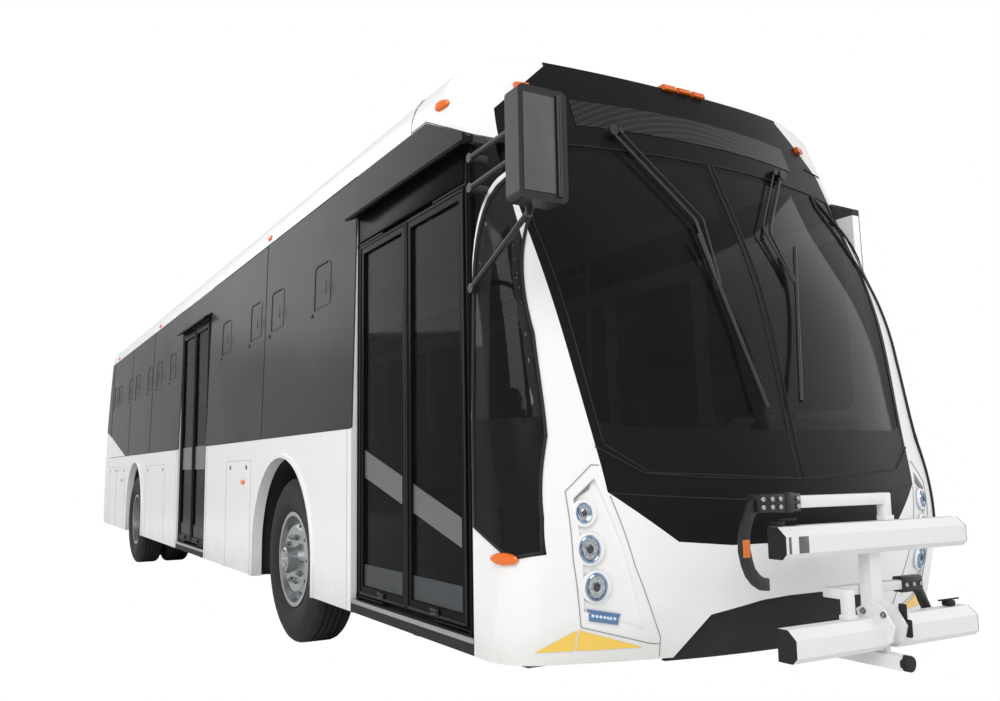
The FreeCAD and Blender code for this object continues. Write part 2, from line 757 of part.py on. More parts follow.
def build_sides():
    header = float(d.header_z)
    skirt = float(d.skirt_z)
    tail_start = float(d.tail_start)
    glass = float(d.glass_thickness)
    gap = float(d.seat_gap)
    rebate = glass + gap
    belt = float(d.belt_z)
    rear_y = float(d.wheelbase)
    band_top = float(d.band_top_z)
    rear_height = d.arch_radius + 39
    spans = {
        "front": (-float(d.front_door_rear), float(d.rear_door_front)),
        "rear": (float(d.rear_door_rear), tail_start),
    }
    walls = []
    panes = []
    for key, (y_from, y_to) in spans.items():
        wall = wall_solid(-1, 0, float(d.wall), y_from, y_to, skirt, header - gap)
        for bay in RIGHT_BAYS[key]:
            wall = wall.cut(window_hole(-1, *bay, *WINDOW_Z))
        wall = wall.cut(wall_solid(-1, -5, rebate, y_from - 1, y_to + 1, belt, header + 5))
        walls.append(wall)
        panes.append(wall_solid(-1, 0, glass, y_from + 2, y_to, belt + gap, band_top))
    walls[0] = walls[0].cut(arch_tool(0, float(d.arch_half), -1))
    walls[1] = walls[1].cut(arch_tool(rear_y, float(d.rear_arch_half), -1, rear_height))
    publish("side_wall_right", feature("right_wall_shape", Part.makeCompound(walls)))

    start = -float(d.nose_start)
    wall = wall_solid(1, 0, float(d.wall), start, tail_start, skirt, header - gap)
    for bay in LEFT_BAYS:
        wall = wall.cut(window_hole(1, *bay, *WINDOW_Z))
    wall = wall.cut(wall_solid(1, -5, rebate, start - 1, tail_start + 1, belt, header + 5))
    wall = wall.cut(arch_tool(0, float(d.arch_half), 1))
    wall = wall.cut(arch_tool(rear_y, float(d.rear_arch_half), 1, rear_height))
    publish("side_wall_left", feature("left_wall_shape", wall))
    cap_cut = front_cap_region()
    panes.append(wall_solid(1, 0, glass, start + 2, tail_start, belt + gap, band_top))
    panes = [pane.cut(cap_cut) for pane in panes]
    publish("side_glass", feature("side_glass_shape", Part.makeCompound(panes)))

    rails = []
    for side in (-1, 1):
        rail = wall_solid(side, 0, float(d.wall), start, tail_start, header, band_top)
        rail = rail.cut(cap_cut)
        glazed = [(start + 2, tail_start)] if side > 0 else spans.values()
        for y_from, y_to in glazed:
            lip = 1 if side < 0 else 3
            rail = rail.cut(wall_solid(side, -5, rebate, y_from - lip, y_to + lip, header - 5, band_top + 5))
        rails.append(rail)
    publish("cant_rails", feature("cant_rail_shape", Part.makeCompound(rails)))

    roof = body_section(0, -float(d.cap_seam), tail_start).cut(
        body_section(float(d.wall), -float(d.cap_seam) - 10, tail_start + 10))
    above = Part.makeBox(3000, 12000, 1000, Vector(-1500, -3000, band_top + gap))
    roof = roof.common(above)
    publish("roof_shell", feature("roof_shape", roof))


# Floor and frame
TOE_HALF = 840


def build_floor():
    front = -d.nose_start + 60
    low = box("low_floor", -inner_half + 0.5, front, floor_under_z,
              2 * inner_half - 1, d.step_start - front, d.floor_thickness)
    toe = box("toe_floor", -TOE_HALF, -2830, floor_under_z, 2 * TOE_HALF, front + 2840, d.floor_thickness)
    riser = box("floor_riser", -inner_half + 0.5, d.step_start - d.floor_thickness, d.floor_z,
                2 * inner_half - 1, d.floor_thickness, d.rear_floor_z - d.floor_z)
    deck = box("rear_deck", -inner_half + 0.5, d.step_start - d.floor_thickness,
               d.rear_floor_z - d.floor_thickness, 2 * inner_half - 1,
               d.tail_start - d.step_start + d.floor_thickness, d.floor_thickness)
    tools = []
    for side in (-1, 1):
        for name, y, inner, z in (("front", Size(0), d.housing_front_inner, floor_under_z - 5),
                                  ("rear", d.wheelbase, d.housing_rear_inner, d.rear_floor_z - 80)):
            reach = HOUSING_RADIUS + d.housing_skin + d.seat_gap
            depth = inner_half - inner + d.housing_skin + d.seat_gap
            x = -inner_half if side < 0 else inner_half - depth
            tools.append(box(f"{name}_housing_gap", x, y - reach, z, depth, reach * 2, 200))
    stand = box("driver_platform_box", 180, -d.nose_start + 62, d.floor_z - 1, inner_half - 182, 1050, 201)
    publish("floor_deck", cut("floor", fuse("floor_plates", low, toe, riser, deck, stand), *tools))


HOUSING_RADIUS = d.arch_radius + 9
AXLE_TUBE = 85


def build_housings():
    """Closed arches over the four wheels, open below and towards the side."""
    items = []
    skin = float(d.housing_skin)
    radius = float(HOUSING_RADIUS)
    outer_x = float(inner_half) - 0.5
    for y, inner, under in ((0.0, float(d.housing_front_inner), float(floor_under_z)),
                            (float(d.wheelbase), float(d.housing_rear_inner), float(hub_z) + AXLE_TUBE + 25)):
        def arch(reach, x_from, x_to):
            drum = Part.makeCylinder(reach, x_to - x_from, Vector(x_from, y, float(hub_z)), AXIS["X"])
            legs = Part.makeBox(x_to - x_from, 2 * reach, float(hub_z),
                                Vector(x_from, y - reach, 0))
            return drum.fuse(legs)
        shape = arch(radius + skin, inner - skin, outer_x).cut(arch(radius, inner, outer_x + 10))
        keep = Part.makeBox(2000, 2000, 2000, Vector(0, y - 1000, under))
        shape = shape.common(keep)
        items += [shape, flip(shape)]
    publish("wheel_housings", feature("housing_shape", Part.makeCompound(items)))


RAIL_X = 350
RAIL_WIDTH = 80
NOSE_BEARER_HALF = 1120
JACKING_Y = -1500


def build_frame():
    """Two rails that step up over the rear axle, and the bearers across them."""
    depth = 60
    high_depth = 110
    low_top = floor_under_z - d.seat_gap
    high_top = d.rear_floor_z - d.floor_thickness - d.seat_gap
    front = Size(-2840)
    rear = d.tail_start + 260
    step = d.step_start + 75
    rise = step + 420
    corners = [(front, low_top - depth), (step, low_top - depth), (rise, high_top - high_depth),
               (rear, high_top - high_depth), (rear, high_top), (rise - 70, high_top), (step - 70, low_top),
               (front, low_top)]
    rail = extruded("rail_form", "YZ", corners, RAIL_X, RAIL_WIDTH)
    items = [rail, mirrored("rail_right", rail)]
    low = low_top - 60
    high = high_top - 60
    items.append(box("front_bearer", -NOSE_BEARER_HALF, -2700, low, 2 * NOSE_BEARER_HALF, 60, 60))
    for y, z in [(-1900, low), (-1100, low), (900, low), (1700, low), (2500, low),
                 (3200, low), (4100, high), (5000, high), (6800, high), (7500, high), (8250, high)]:
        items.append(box("cross_bearer", -(inner_half - 0.5), y, z, 2 * inner_half - 1, 60, 60))
    for x in (RAIL_X, -RAIL_X - RAIL_WIDTH):
        items.append(box("jacking_pad", x, JACKING_Y - 60, low_top - depth - 12, RAIL_WIDTH, 120, 12))
    publish("chassis_frame", fuse("frame", *items))


def build_axles():
    """Dropped front beam with eyes for the kingpins, and the driven rear axle's housing."""
    eye = 50
    eye_half = 55
    low_z = 205
    corners = [(-(d.kingpin_half - eye + 8), hub_z - 45), (-640, hub_z - 45), (-520, low_z), (520, low_z),
               (640, hub_z - 45), (d.kingpin_half - eye + 8, hub_z - 45), (d.kingpin_half - eye + 8, hub_z + 45),
               (600, hub_z + 45), (480, low_z + 100), (-480, low_z + 100), (-600, hub_z + 45),
               (-(d.kingpin_half - eye + 8), hub_z + 45)]
    beam = extruded("beam_form", "XZ", corners, -45, 90)
    eyes = []
    bores = []
    for side in (-1, 1):
        x = side * d.kingpin_half
        eyes.append(rod("kingpin_eye", "Z", x, 0, hub_z - eye_half, eye, eye_half * 2))
        bores.append(rod("kingpin_bore", "Z", x, 0, hub_z - eye_half - 5, KINGPIN + d.running_gap, eye_half * 2 + 10))
    publish("front_axle_beam", cut("front_axle", fuse("front_axle_form", beam, *eyes), *bores))

    tube_end = d.rear_outer_half - 60
    tube = rod("axle_tube", "X", -(d.rear_outer_half - d.twin_spacing - 160), d.wheelbase, hub_z, AXLE_TUBE,
               2 * (d.rear_outer_half - d.twin_spacing - 160))
    spindle = rod("axle_spindle", "X", -tube_end, d.wheelbase, hub_z, d.rear_spindle_radius, 2 * tube_end)
    bowl = rod("axle_bowl", "Y", 0, d.wheelbase - 130, hub_z, 195, 260)
    nose_piece = rod("pinion_nose", "Y", 0, d.wheelbase - 330, hub_z, 75, 220)
    publish("rear_axle_housing", fuse("rear_axle", tube, spindle, bowl, nose_piece))


KINGPIN = 22
TRACK_ROD_Z = 300


def build_suspension():
    """Spring seats on the front beam, and saddles with two air springs a side on the rear axle."""
    gap = d.seat_gap
    items = []
    for side in (-1, 1):
        x = side * (RAIL_X + RAIL_WIDTH / 2)
        items.append(box("front_spring_seat", x - 35, -45, 305 + gap, 70, 90, floor_under_z - 60 - 305 - 3 * gap))
        saddle = box("rear_saddle", x - 40, d.wheelbase - 430, hub_z + AXLE_TUBE + gap, 80, 860, 40)
        parts = [saddle]
        under = d.rear_floor_z - d.floor_thickness - 110 - 2 * gap
        for y in (-340, 340):
            parts.append(rod("air_spring", "Z", x, d.wheelbase + y, hub_z + 125, 100, under - hub_z - 125))
        items.append(fuse("rear_spring_set", *parts))
    publish("suspension", group("suspension_set", *items))


def build_knuckles():
    """The left knuckle, with lugs above and below the beam's eye, and its mirror image."""
    eye_half = 55 + 0.3
    x = d.kingpin_half
    pin = rod("kingpin", "Z", x, 0, hub_z - eye_half - 30, KINGPIN, 2 * eye_half + 60)
    lugs = []
    for z in (hub_z - eye_half - 30, hub_z + eye_half):
        lug = fuse("lug", rod("lug_round", "Z", x, 0, z, 46, 30), box("lug_plate", x, -46, z, 80, 92, 30))
        lugs.append(lug)
    plate = box("knuckle_plate", x + 56, -60, hub_z - eye_half - 30, 24, 120, 2 * eye_half + 60)
    arm = box("steering_arm", x - 20, 0, hub_z - eye_half - 55, 40, 190, 25.5)
    spindle = rod("spindle", "X", x + 70, 0, hub_z, d.spindle_radius, d.front_track_half - d.kingpin_half + 60)
    ball = rod("arm_pin", "Z", x, 165, TRACK_ROD_Z - 14, 12, hub_z - eye_half - 54 - TRACK_ROD_Z + 14)
    left = fuse("knuckle_left_form", pin, *lugs, plate, arm, spindle, ball)
    publish("knuckle_left", left)
    publish("knuckle_right", mirrored("knuckle_right_form", left))
    rod_z = Size(TRACK_ROD_Z - 12)
    bar = rod("track_bar", "X", -x + 30, 165, rod_z + 12, 16, 2 * x - 60)
    ends = []
    bores = []
    for side in (-1, 1):
        ends.append(rod("bar_eye", "Z", side * x, 165, rod_z, 32, 24))
        bores.append(rod("bar_eye_bore", "Z", side * x, 165, rod_z - 5, 12 + d.running_gap, 60))
    publish("track_rod", cut("track_rod_form", fuse("track_rod_bar", bar, *ends), *bores))


def build_wheels():
    """Tyres and disc wheels: single in front with the disc turned out, twins behind."""
    w = d.tyre_width / 2
    r = d.tyre_radius
    seat = d.rim_radius
    flange = d.rim_flange_radius
    rim = d.rim_width / 2

    def tyre_outline(x):
        return [(x - rim + 6, seat + d.seat_gap), (x + rim - 6, seat + d.seat_gap), (x + rim - 6, flange + 6),
                (x + w - 6, flange + 60), (x + w, seat + 115), (x + w - 12, r - 55), (x + w - 32, r - 16),
                (x + w - 60, r), (x - w + 60, r), (x - w + 32, r - 16), (x - w + 12, r - 55),
                (x - w, seat + 115), (x - w + 6, flange + 60), (x - rim + 6, flange + 6)]

    def barrel(x, disc):
        """A rim's barrel from its outer flange round to its inner one, open to the disc."""
        return [(x + rim - 4, seat), (x + rim - 4, flange), (x + rim + 8, flange), (x + rim + 8, seat - 14),
                *disc, (x - rim - 8, seat - 18), (x - rim - 8, flange), (x - rim + 4, flange),
                (x - rim + 4, seat)]

    x = d.front_track_half
    tyre = turned("front_tyre", tyre_outline(x))
    bore = d.spindle_radius + d.running_gap
    disc = [(x + 60, seat - 22), (x + 64, 250), (x + 112, 205), (x + 114, 80), (x + 178, 74), (x + 184, 66),
            (x + 184, 0), (x + 150, 0), (x + 150, bore), (x - 70, bore), (x - 70, 90), (x + 6, 90), (x + 6, 188),
            (x - 100, 188), (x - 100, 205), (x + 20, 205), (x + 20, 92), (x + 100, 92), (x + 100, 198),
            (x + 52, 244), (x + 46, seat - 22)]
    wheel = cut("front_wheel_cut", turned("front_wheel", barrel(x, disc)), *hand_holes(x + 40, 228))
    publish("front_tyre_left", tyre)
    publish("front_rim_left", wheel)
    publish("front_tyre_right", mirrored("front_tyre_mirror", tyre))
    publish("front_rim_right", mirrored("front_wheel_mirror", wheel))

    outer = d.rear_outer_half
    inner = outer - d.twin_spacing
    bore = d.rear_spindle_radius + d.running_gap
    face = (outer + inner) / 2
    outer_tyre = turned("rear_outer_tyre", tyre_outline(outer))
    inner_tyre = turned("rear_inner_tyre", tyre_outline(inner))
    outer_disc = [(outer - 60, seat - 22), (face + 40, 200), (face + 20, 196), (face + 20, 130),
                  (outer - 30, 126), (outer + 60, 112), (outer + 60, 0), (outer - 40, 0), (outer - 40, bore),
                  (face + 1, bore), (face + 1, 210), (face + 24, 214), (outer - 78, seat - 22)]
    inner_disc = [(inner + 78, seat - 22), (face - 24, 214), (face - 1, 210), (face - 1, bore),
                  (inner - 90, bore), (inner - 90, 112), (inner - 60, 112), (inner - 60, 205), (inner + 60, 205),
                  (face - 30, 196), (inner + 60, seat - 22)]
    rims = group("rear_rims", turned("rear_outer_wheel", barrel(outer, outer_disc)),
                 turned("rear_inner_wheel", barrel(inner, inner_disc)))
    tyres = group("rear_tyres", outer_tyre, inner_tyre)
    for item in (rims, tyres):
        for link in item.Links:
            link.setExpression(".Placement.Base.y", d.wheelbase.text)
    publish("rear_tyres_left", group("rear_tyres_left_set", tyres))
    publish("rear_rims_left", group("rear_rims_left_set", rims))
    publish("rear_tyres_right", mirrored("rear_tyres_mirror", tyres))
    publish("rear_rims_right", mirrored("rear_rims_mirror", rims))


HAND_HOLES = 10
HAND_HOLE_RADIUS = 20


def hand_holes(x, pitch_radius):
    """Round holes through a disc wheel, evenly spaced round its axle."""
    holes = []
    for i in range(HAND_HOLES):
        angle = 2 * math.pi * i / HAND_HOLES
        holes.append(rod("hand_hole", "X", x, pitch_radius * math.cos(angle),
                         hub_z + pitch_radius * math.sin(angle), HAND_HOLE_RADIUS, 100))
    return holes


def lift_wheels():
    for item in doc.Objects:
        if item.TypeId == "PartDesign::Body":
            item.setExpression(".Placement.Base.z", hub_z.text)


# Doors
def build_door(label, front, rear, top, offset):
    """Two leaves, each carried at its middle by arms on a turning pillar beside the jamb."""
    gap = d.running_gap
    reach = d.pillar_radius + d.leaf_clearance
    far = (rear - front) / 2 - offset - 3
    centre = (far + reach) / 2
    arm_low = d.leaf_z - 6 - d.arm_thickness
    arm_high = top + 6
    thick = d.leaf_thickness
    for leaf, pivot, sign in (("front", front + offset, 1), ("rear", rear - offset, -1)):
        name = f"{label}_{leaf}"
        near = pivot + reach * sign if sign > 0 else pivot - far
        middle = pivot + centre * sign
        post = rod(f"{name}_post", "Z", -leaf_x, pivot, d.floor_z + gap, d.pillar_radius,
                   d.header_z - d.floor_z - 2 * gap)
        parts = [post]
        for z in (d.leaf_z - 20, top + 2):
            parts.append(rod(f"{name}_collar", "Z", -leaf_x, pivot, z, d.pillar_radius + 2, 18))
        holes = []
        for z, pin_z in ((arm_low, arm_low), (arm_high, arm_high - 31)):
            start = pivot if sign > 0 else pivot - centre
            parts.append(box(f"{name}_arm", -leaf_x - d.arm_width / 2, start, z, d.arm_width, centre,
                             d.arm_thickness))
            parts.append(rod(f"{name}_arm_end", "Z", -leaf_x, middle, z, d.arm_width / 2, d.arm_thickness))
            parts.append(rod(f"{name}_pin", "Z", -leaf_x, middle, pin_z, PIN_RADIUS, 31 + d.arm_thickness))
            holes.append(rod(f"{name}_pin_hole", "Z", -leaf_x, middle, pin_z - 1, gap + PIN_RADIUS,
                             33 + d.arm_thickness))
        publish(f"{name}_pillar", fuse(f"{name}_pillar_form", *parts))
        tall = top - d.leaf_z
        wide = far - reach
        panel = box(f"{name}_panel", -leaf_x - thick / 2, near, d.leaf_z, thick, wide, tall)
        hole = box(f"{name}_opening", -leaf_x - thick, near + d.leaf_frame, d.leaf_z + d.leaf_frame,
                   thick * 2, wide - 2 * d.leaf_frame, tall - 2 * d.leaf_frame)
        publish(f"{name}_leaf", cut(f"{name}_frame", panel, hole, *holes))
        pane = box(f"{name}_pane", -leaf_x - 3, near + d.leaf_frame + gap, d.leaf_z + d.leaf_frame + gap,
                   6, wide - 2 * d.leaf_frame - 2 * gap, tall - 2 * d.leaf_frame - 2 * gap)
        publish(f"{name}_glass", pane)


PIN_RADIUS = 8


def build_thresholds():
    items = []
    for front, rear in ((-d.front_door_front, -d.front_door_rear), (d.rear_door_front, d.rear_door_rear)):
        items.append(box("sill", -half, front + d.seat_gap, d.skirt_z, d.wall - d.seat_gap,
                         rear - front - 2 * d.seat_gap, d.floor_z - d.skirt_z))
    publish("door_sills", group("sills", *items))
    visors = []

    def wall_at(z):
        lean = (z - float(d.belt_z)) / float(cant_z - d.belt_z)
        return -half + d.tumblehome * lean - d.seat_gap
    for front, rear in ((-d.front_door_front, -d.front_door_rear), (d.rear_door_front, d.rear_door_rear)):
        visor = [(wall_at(2444), 2444), (-half - 40, 2418), (-half - 45, 2430), (wall_at(2476), 2476)]
        visors.append(extruded("visor", "XZ", visor, front + 3, rear - front - 6))
    board_z = d.front_leaf_top_z + 16 + d.arm_thickness
    start = d.front_pillar_offset + d.pillar_radius + 5
    board = box("header_board", -leaf_x - d.leaf_thickness / 2, -d.front_door_front + start, board_z,
                d.leaf_thickness, d.front_door_front - d.front_door_rear - 2 * start,
                d.header_z - d.seat_gap - board_z)
    publish("door_visors", group("visor_set", *visors, board))


# Bicycle rack
def build_rack():
    """A hitch arm under the bumper with a folding frame of two wheel trays on its end."""
    pivot_y = -d.rack_pivot_reach
    pivot_z = d.rack_pivot_z
    tube = d.rack_tube
    arm = box("hitch_tube", -tube / 2, pivot_y - 95, HITCH_Z, tube, 95 + d.rack_pivot_reach - 2700.3, tube)
    lug = box("hitch_lug", -12, pivot_y - 28, HITCH_Z + tube, 24, 56, pivot_z + 25 - HITCH_Z - tube)
    pin = rod("hitch_pin", "X", -50, pivot_y, pivot_z, 10, 100)
    knob = rod("hitch_knob", "Y", 0, front_y, HITCH_Z + tube / 2, 28, pivot_y - 90 - front_y)
    publish("rack_hitch", fuse("hitch", arm, lug, pin, knob))

    plates = []
    bores = [rod("plate_bore", "X", -80, pivot_y, pivot_z, 10 + d.running_gap, 160)]
    sector = [(pivot_y - 70, pivot_z - 45), (pivot_y - 20, pivot_z - 70), (pivot_y + 60, pivot_z - 35),
              (pivot_y + 70, pivot_z + 60), (pivot_y + 10, pivot_z + 95), (pivot_y - 45, pivot_z + 70),
              (pivot_y - 85, pivot_z + 10)]
    for x in (-40, 30):
        plates.append(extruded("sector_plate", "YZ", sector, x, 10))
    post_low = pivot_z + 40
    plates.append(box("rack_post", -30, pivot_y + 5, post_low, 60, 50, UPPER_TRAY_Z - post_low + 10))

    def tray(name, x, length, y, z):
        form = [(y + 45, z), (y - 15, z), (y - 35, z + 20), (y - 35, z + 80), (y, z + 112), (y + 45, z + 112)]
        hollow = [(y + 50, z + 6), (y - 12, z + 6), (y - 29, z + 23), (y - 29, z + 78), (y + 2, z + 106),
                  (y + 50, z + 106)]
        return cut(name, extruded(f"{name}_form", "YZ", form, x, length),
                   extruded(f"{name}_hollow", "YZ", hollow, x - 5, length + 10))

    upper = tray("upper_tray", -d.rack_half, 2 * d.rack_half, pivot_y, UPPER_TRAY_Z)
    low_y = pivot_y - 20
    left = tray("lower_tray_left", Size(39), d.rack_half - 39, low_y, pivot_z - 75)
    right = tray("lower_tray_right", -d.rack_half, d.rack_half - 39, low_y, pivot_z - 75)
    publish("rack_frame", cut("rack_frame_form", fuse("rack_welded", *plates, upper, left, right), *bores))


HITCH_Z = 338
UPPER_TRAY_Z = Size(752)


def build_hooks():
    """The two wheel hooks, folded down over their trays, each on a square arm with a ratchet head."""
    tube_size = d.hook_tube
    pivot_y = -d.rack_pivot_reach
    top = UPPER_TRAY_Z + d.tray_height + d.seat_gap
    arm_z = top + 62
    high_y = pivot_y + 8
    post = box("high_hook_post", 80, high_y, top, tube_size, tube_size - 8, 62 + tube_size)
    arm = box("high_hook_arm", -400, high_y, arm_z, 480, tube_size - 8, tube_size)
    head = box("high_hook_head", -600, high_y - 10, arm_z - 10, 210, tube_size + 12, tube_size + 20)
    outline_high = [(-590, arm_z + 50), (-640, arm_z - 10), (-672, arm_z - 90), (-664, arm_z - 190),
                    (-620, arm_z - 256), (-548, arm_z - 280), (-548, arm_z - 236), (-594, arm_z - 220),
                    (-624, arm_z - 170), (-630, arm_z - 90), (-606, arm_z - 26), (-590, arm_z - 8)]
    hook = extruded("high_hook", "XZ", outline_high, high_y + 8, d.hook_thickness)
    publish("rack_hooks", group("hook_set", fuse("high_hook_set", post, arm, head, hook), low_hook()))


def low_hook():
    tube_size = d.hook_tube
    pivot_y = -d.rack_pivot_reach
    top = d.rack_pivot_z - 75 + d.tray_height + d.seat_gap
    low_y = pivot_y - 20
    back_y = pivot_y + 5 + 50 + 6
    post = box("low_hook_post", -190, low_y + 4, top, tube_size - 6, tube_size - 6, 110)
    jog = box("low_hook_jog", -190, low_y + 4, top + 72, tube_size - 6, back_y - low_y + 20, tube_size - 6)
    arm = box("low_hook_arm", -190, back_y, top + 72, 430, tube_size - 8, tube_size - 6)
    head = box("low_hook_head", 225, back_y - 4, top + 60, 130, tube_size + 2, tube_size + 16)
    shape = [(330, top + 118), (372, top + 60), (420, top - 20), (452, top - 70), (412, top - 78),
             (376, top - 20), (340, top + 44), (310, top + 66)]
    hook = extruded("low_hook", "XZ", shape, back_y + 6, d.hook_thickness)
    return fuse("low_hook_set", post, jog, arm, head, hook)


# Inside
def tilted(item, along):
    """Puts a form that is drawn along Z on the steering wheel's axis, that far from its centre."""
    lean = math.radians(float(d.steering_tilt))
    item.Placement = Placement(Vector(), Rotation(Vector(1, 0, 0), -float(d.steering_tilt)))
    spot = (d.steering_x, -d.steering_reach + along * math.sin(lean), d.steering_z + along * math.cos(lean))
    for axis, size in zip("xyz", spot):
        item.setExpression(f".Placement.Base.{axis}", as_size(size).text)
    return item


def tilted_rod(name, radius, length, along):
    item = doc.addObject("Part::Cylinder", name)
    bind(item, Radius=radius, Height=length)
    return tilted(item, along)


def steering():
    """A column bracket that rises from the dashboard, and a three-spoke wheel whose shaft turns in it."""
    column = cut("steering_column", tilted_rod("column_tube", 38, 440, -510),
                 tilted_rod("column_bore", 14 + d.running_gap, 100, -140))
    rim = doc.addObject("Part::Torus", "steering_rim")
    bind(rim, Radius1=d.steering_radius, Radius2=d.steering_grip)
    tilted(rim, 0)
    hub = tilted_rod("steering_hub", 62, 30, -52)
    shaft = tilted_rod("steering_shaft", 14, 90, -125)
    neck = tilted_rod("steering_neck", 30, 17, -68)
    spokes = []
    for angle in (90, 210, 330):
        spoke = doc.addObject("Part::Box", "steering_spoke")
        bind(spoke, Length=d.steering_radius - 40, Width=26, Height=10)
        lean = Rotation(Vector(1, 0, 0), -float(d.steering_tilt))
        turn = lean.multiply(Rotation(Vector(0, 0, 1), angle)).multiply(Rotation(Vector(0, 1, 0), -9))
        corner = turn.multVec(Vector(40, -13, -5)) + lean.multVec(Vector(0, 0, -34))
        spoke.Placement = Placement(Vector(), turn)
        spot = (d.steering_x + corner.x, -d.steering_reach + corner.y, d.steering_z + corner.z)
        for axis, size in zip("xyz", spot):
            spoke.setExpression(f".Placement.Base.{axis}", as_size(size).text)
        spokes.append(spoke)
    return column, fuse("steering_wheel_form", rim, hub, shaft, neck, *spokes)


def ceiling_at(x):
    """The height of the roof's inner face at a distance from its middle."""
    bow = float(d.roof_bow - d.wall)
    return float(d.crown_z - d.wall) - bow + math.sqrt(bow ** 2 - x ** 2)


STANCHION_Y = 1437
POST_INSET = 40


def build_handrails():
    """Two rails under the roof, stepped up over the rear deck, with droppers and stanchions."""
    r = float(d.post_radius)
    gap = float(d.seat_gap)
    low, high = float(d.low_rail_z), float(d.high_rail_z)
    start, step, end = -1130.0, float(d.step_start), 8150.0
    first, last, riser = start + POST_INSET, end - POST_INSET, step + 60 + POST_INSET
    sets = []
    for sign in (-1, 1):
        x = sign * float(d.rail_half)
        rail = tube([(x, start, low), (x, step - 200, low), (x, step + 60, high), (x, end, high)],
                    float(d.rail_radius))
        top = ceiling_at(abs(x) + r) - gap
        posts = []
        for y, z in ((first, low), (STANCHION_Y, low), (riser, high), (5900, high), (last, high)):
            posts.append(Part.makeCylinder(r, top - z, Vector(x, y, z)))
        for y in (first, STANCHION_Y, 2150 if sign < 0 else 2450):
            foot = float(d.floor_z) + gap
            posts.append(Part.makeCylinder(r, low - foot, Vector(x, y, foot)))
        for y in (riser, 6700):
            foot = float(d.rear_floor_z) + gap
            posts.append(Part.makeCylinder(r, high - foot, Vector(x, y, foot)))
        rail = rail.multiFuse(posts)
        sets.append(rail)
    publish("handrails", feature("handrail_shape", Part.makeCompound(sets)))


def build_wipers():
    """Two hanging wipers: each a pair of arms from a spindle above the glass, and a blade."""
    sweeps = [((-546, -2557, 2583), (-268, -2769, 2153), (-260, -2877, 1849), (-202, -2959, 1540)),
              ((504, -2581, 2530), (191, -2771, 2160), (234, -2867, 1897), (112, -2963, 1534))]
    sets = []
    for root, knee, heel, toe in sweeps:
        ahead = Vector(0, -34, 0)
        spots = [Vector(*spot) + ahead for spot in (root, knee, heel, toe)]
        arm = tube([spots[0], spots[1], spots[2]], 8)
        offset = Vector(46 if root[0] < 0 else -46, 0, 10)
        link = tube([spots[0] + offset, spots[1] + offset, spots[2] + offset / 3], 5)
        spindle = Part.makeCylinder(24, 120, spots[0] - Vector(0, 20, 0), AXIS["Y"])
        pivot = Part.makeCylinder(14, 120, spots[0] + offset - Vector(0, 14, 0), AXIS["Y"])
        middle = (spots[2] + spots[3]) / 2
        run = (spots[3] - spots[2]).normalize()
        blade = tube([middle - run * 400, middle + run * 400], 9)
        joint = tube([spots[2], middle], 7)
        shape = arm.fuse([link, spindle, pivot, blade, joint])
        sets.append(shape.cut(nose(-float(d.seat_gap))))
    publish("wipers", feature("wiper_shape", Part.makeCompound(sets)))


def build_lamps():
    """Roof markers over the front, and a column of three round lamps at each rear corner."""
    depth = float(d.lamp_depth)
    proud = nose(-depth).cut(nose(-float(d.seat_gap)))
    marks = []
    for x, z, wide in ((-95, 2925, 70), (0, 2927, 70), (95, 2925, 70), (-905, 2800, 60), (905, 2800, 60)):
        marks.append(proud.common(Part.makeBox(wide, 900, 30, Vector(x - wide / 2, -3200, z - 15))))
    behind = tail(-depth).cut(tail(-float(d.seat_gap)))
    for sign in (-1, 1):
        for z in (1250, 1100, 950):
            marks.append(behind.common(Part.makeCylinder(58, 900, Vector(sign * 1080, 8700, z), AXIS["Y"])))
    publish("body_lamps", feature("body_lamp_shape", Part.makeCompound(marks)))


def build_inside():
    wide = RAIL_X - d.seat_gap
    engine = box("engine_form", -wide, d.wheelbase + 1500, 420, 2 * wide, 1250, 340)
    publish("engine_block", engine)
    low = d.floor_z + d.seat_gap
    dash = [(-2800, low), (-2620, low), (-2600, 900), (-2600, 1120), (-2680, 1230),
            (-2860, 1150), (-2860, 900)]
    console = extruded("dash_form", "YZ", dash, -880, 1760)
    column, wheel = steering()
    publish("dashboard", group("dashboard_set", cut("dash_bored", console, column), column))
    publish("steering_wheel", wheel)


def seat(name, x, y, z):
    """A double seat with two moulded shells on a pedestal, facing forwards."""
    profile = [(y, z + 400), (y + 410, z + 380), (y + 520, z + 960), (y + 555, z + 955), (y + 450, z + 345),
               (y + 20, z + 360)]
    shells_pair = [extruded(name, "YZ", profile, start, 420) for start in (x, x + 440)]
    foot = box(f"{name}_foot", x + 380, y + 120, z + 0.3, 100, 240, 352)
    beam = box(f"{name}_beam", x + 30, y + 160, z + 320, 800, 60, 48)
    return fuse(f"{name}_set", *shells_pair, foot, beam)


def build_seats():
    low = [seat("seat", side_x, y, d.floor_z) for side_x in (290, -1150)
           for y in (760, 1560) if not (side_x < 0 and y > 1500)]
    high = [seat("rear_seat", side_x, y, d.rear_floor_z) for side_x in (290, -1150)
            for y in (3700, 4500, 7000, 7700)]
    publish("passenger_seats", group("seats", *low, *high))
    profile = [(-2080, d.floor_z + 600), (-1640, d.floor_z + 590), (-1560, d.floor_z + 1300),
               (-1470, d.floor_z + 1290), (-1560, d.floor_z + 500), (-2080, d.floor_z + 520)]
    shell = extruded("driver_seat_form", "YZ", profile, 330, 500)
    foot = box("driver_seat_foot", 430, -1950, d.floor_z + 200.6, 300, 300, 345)
    publish("driver_seat", fuse("driver_seat_set", shell, foot))


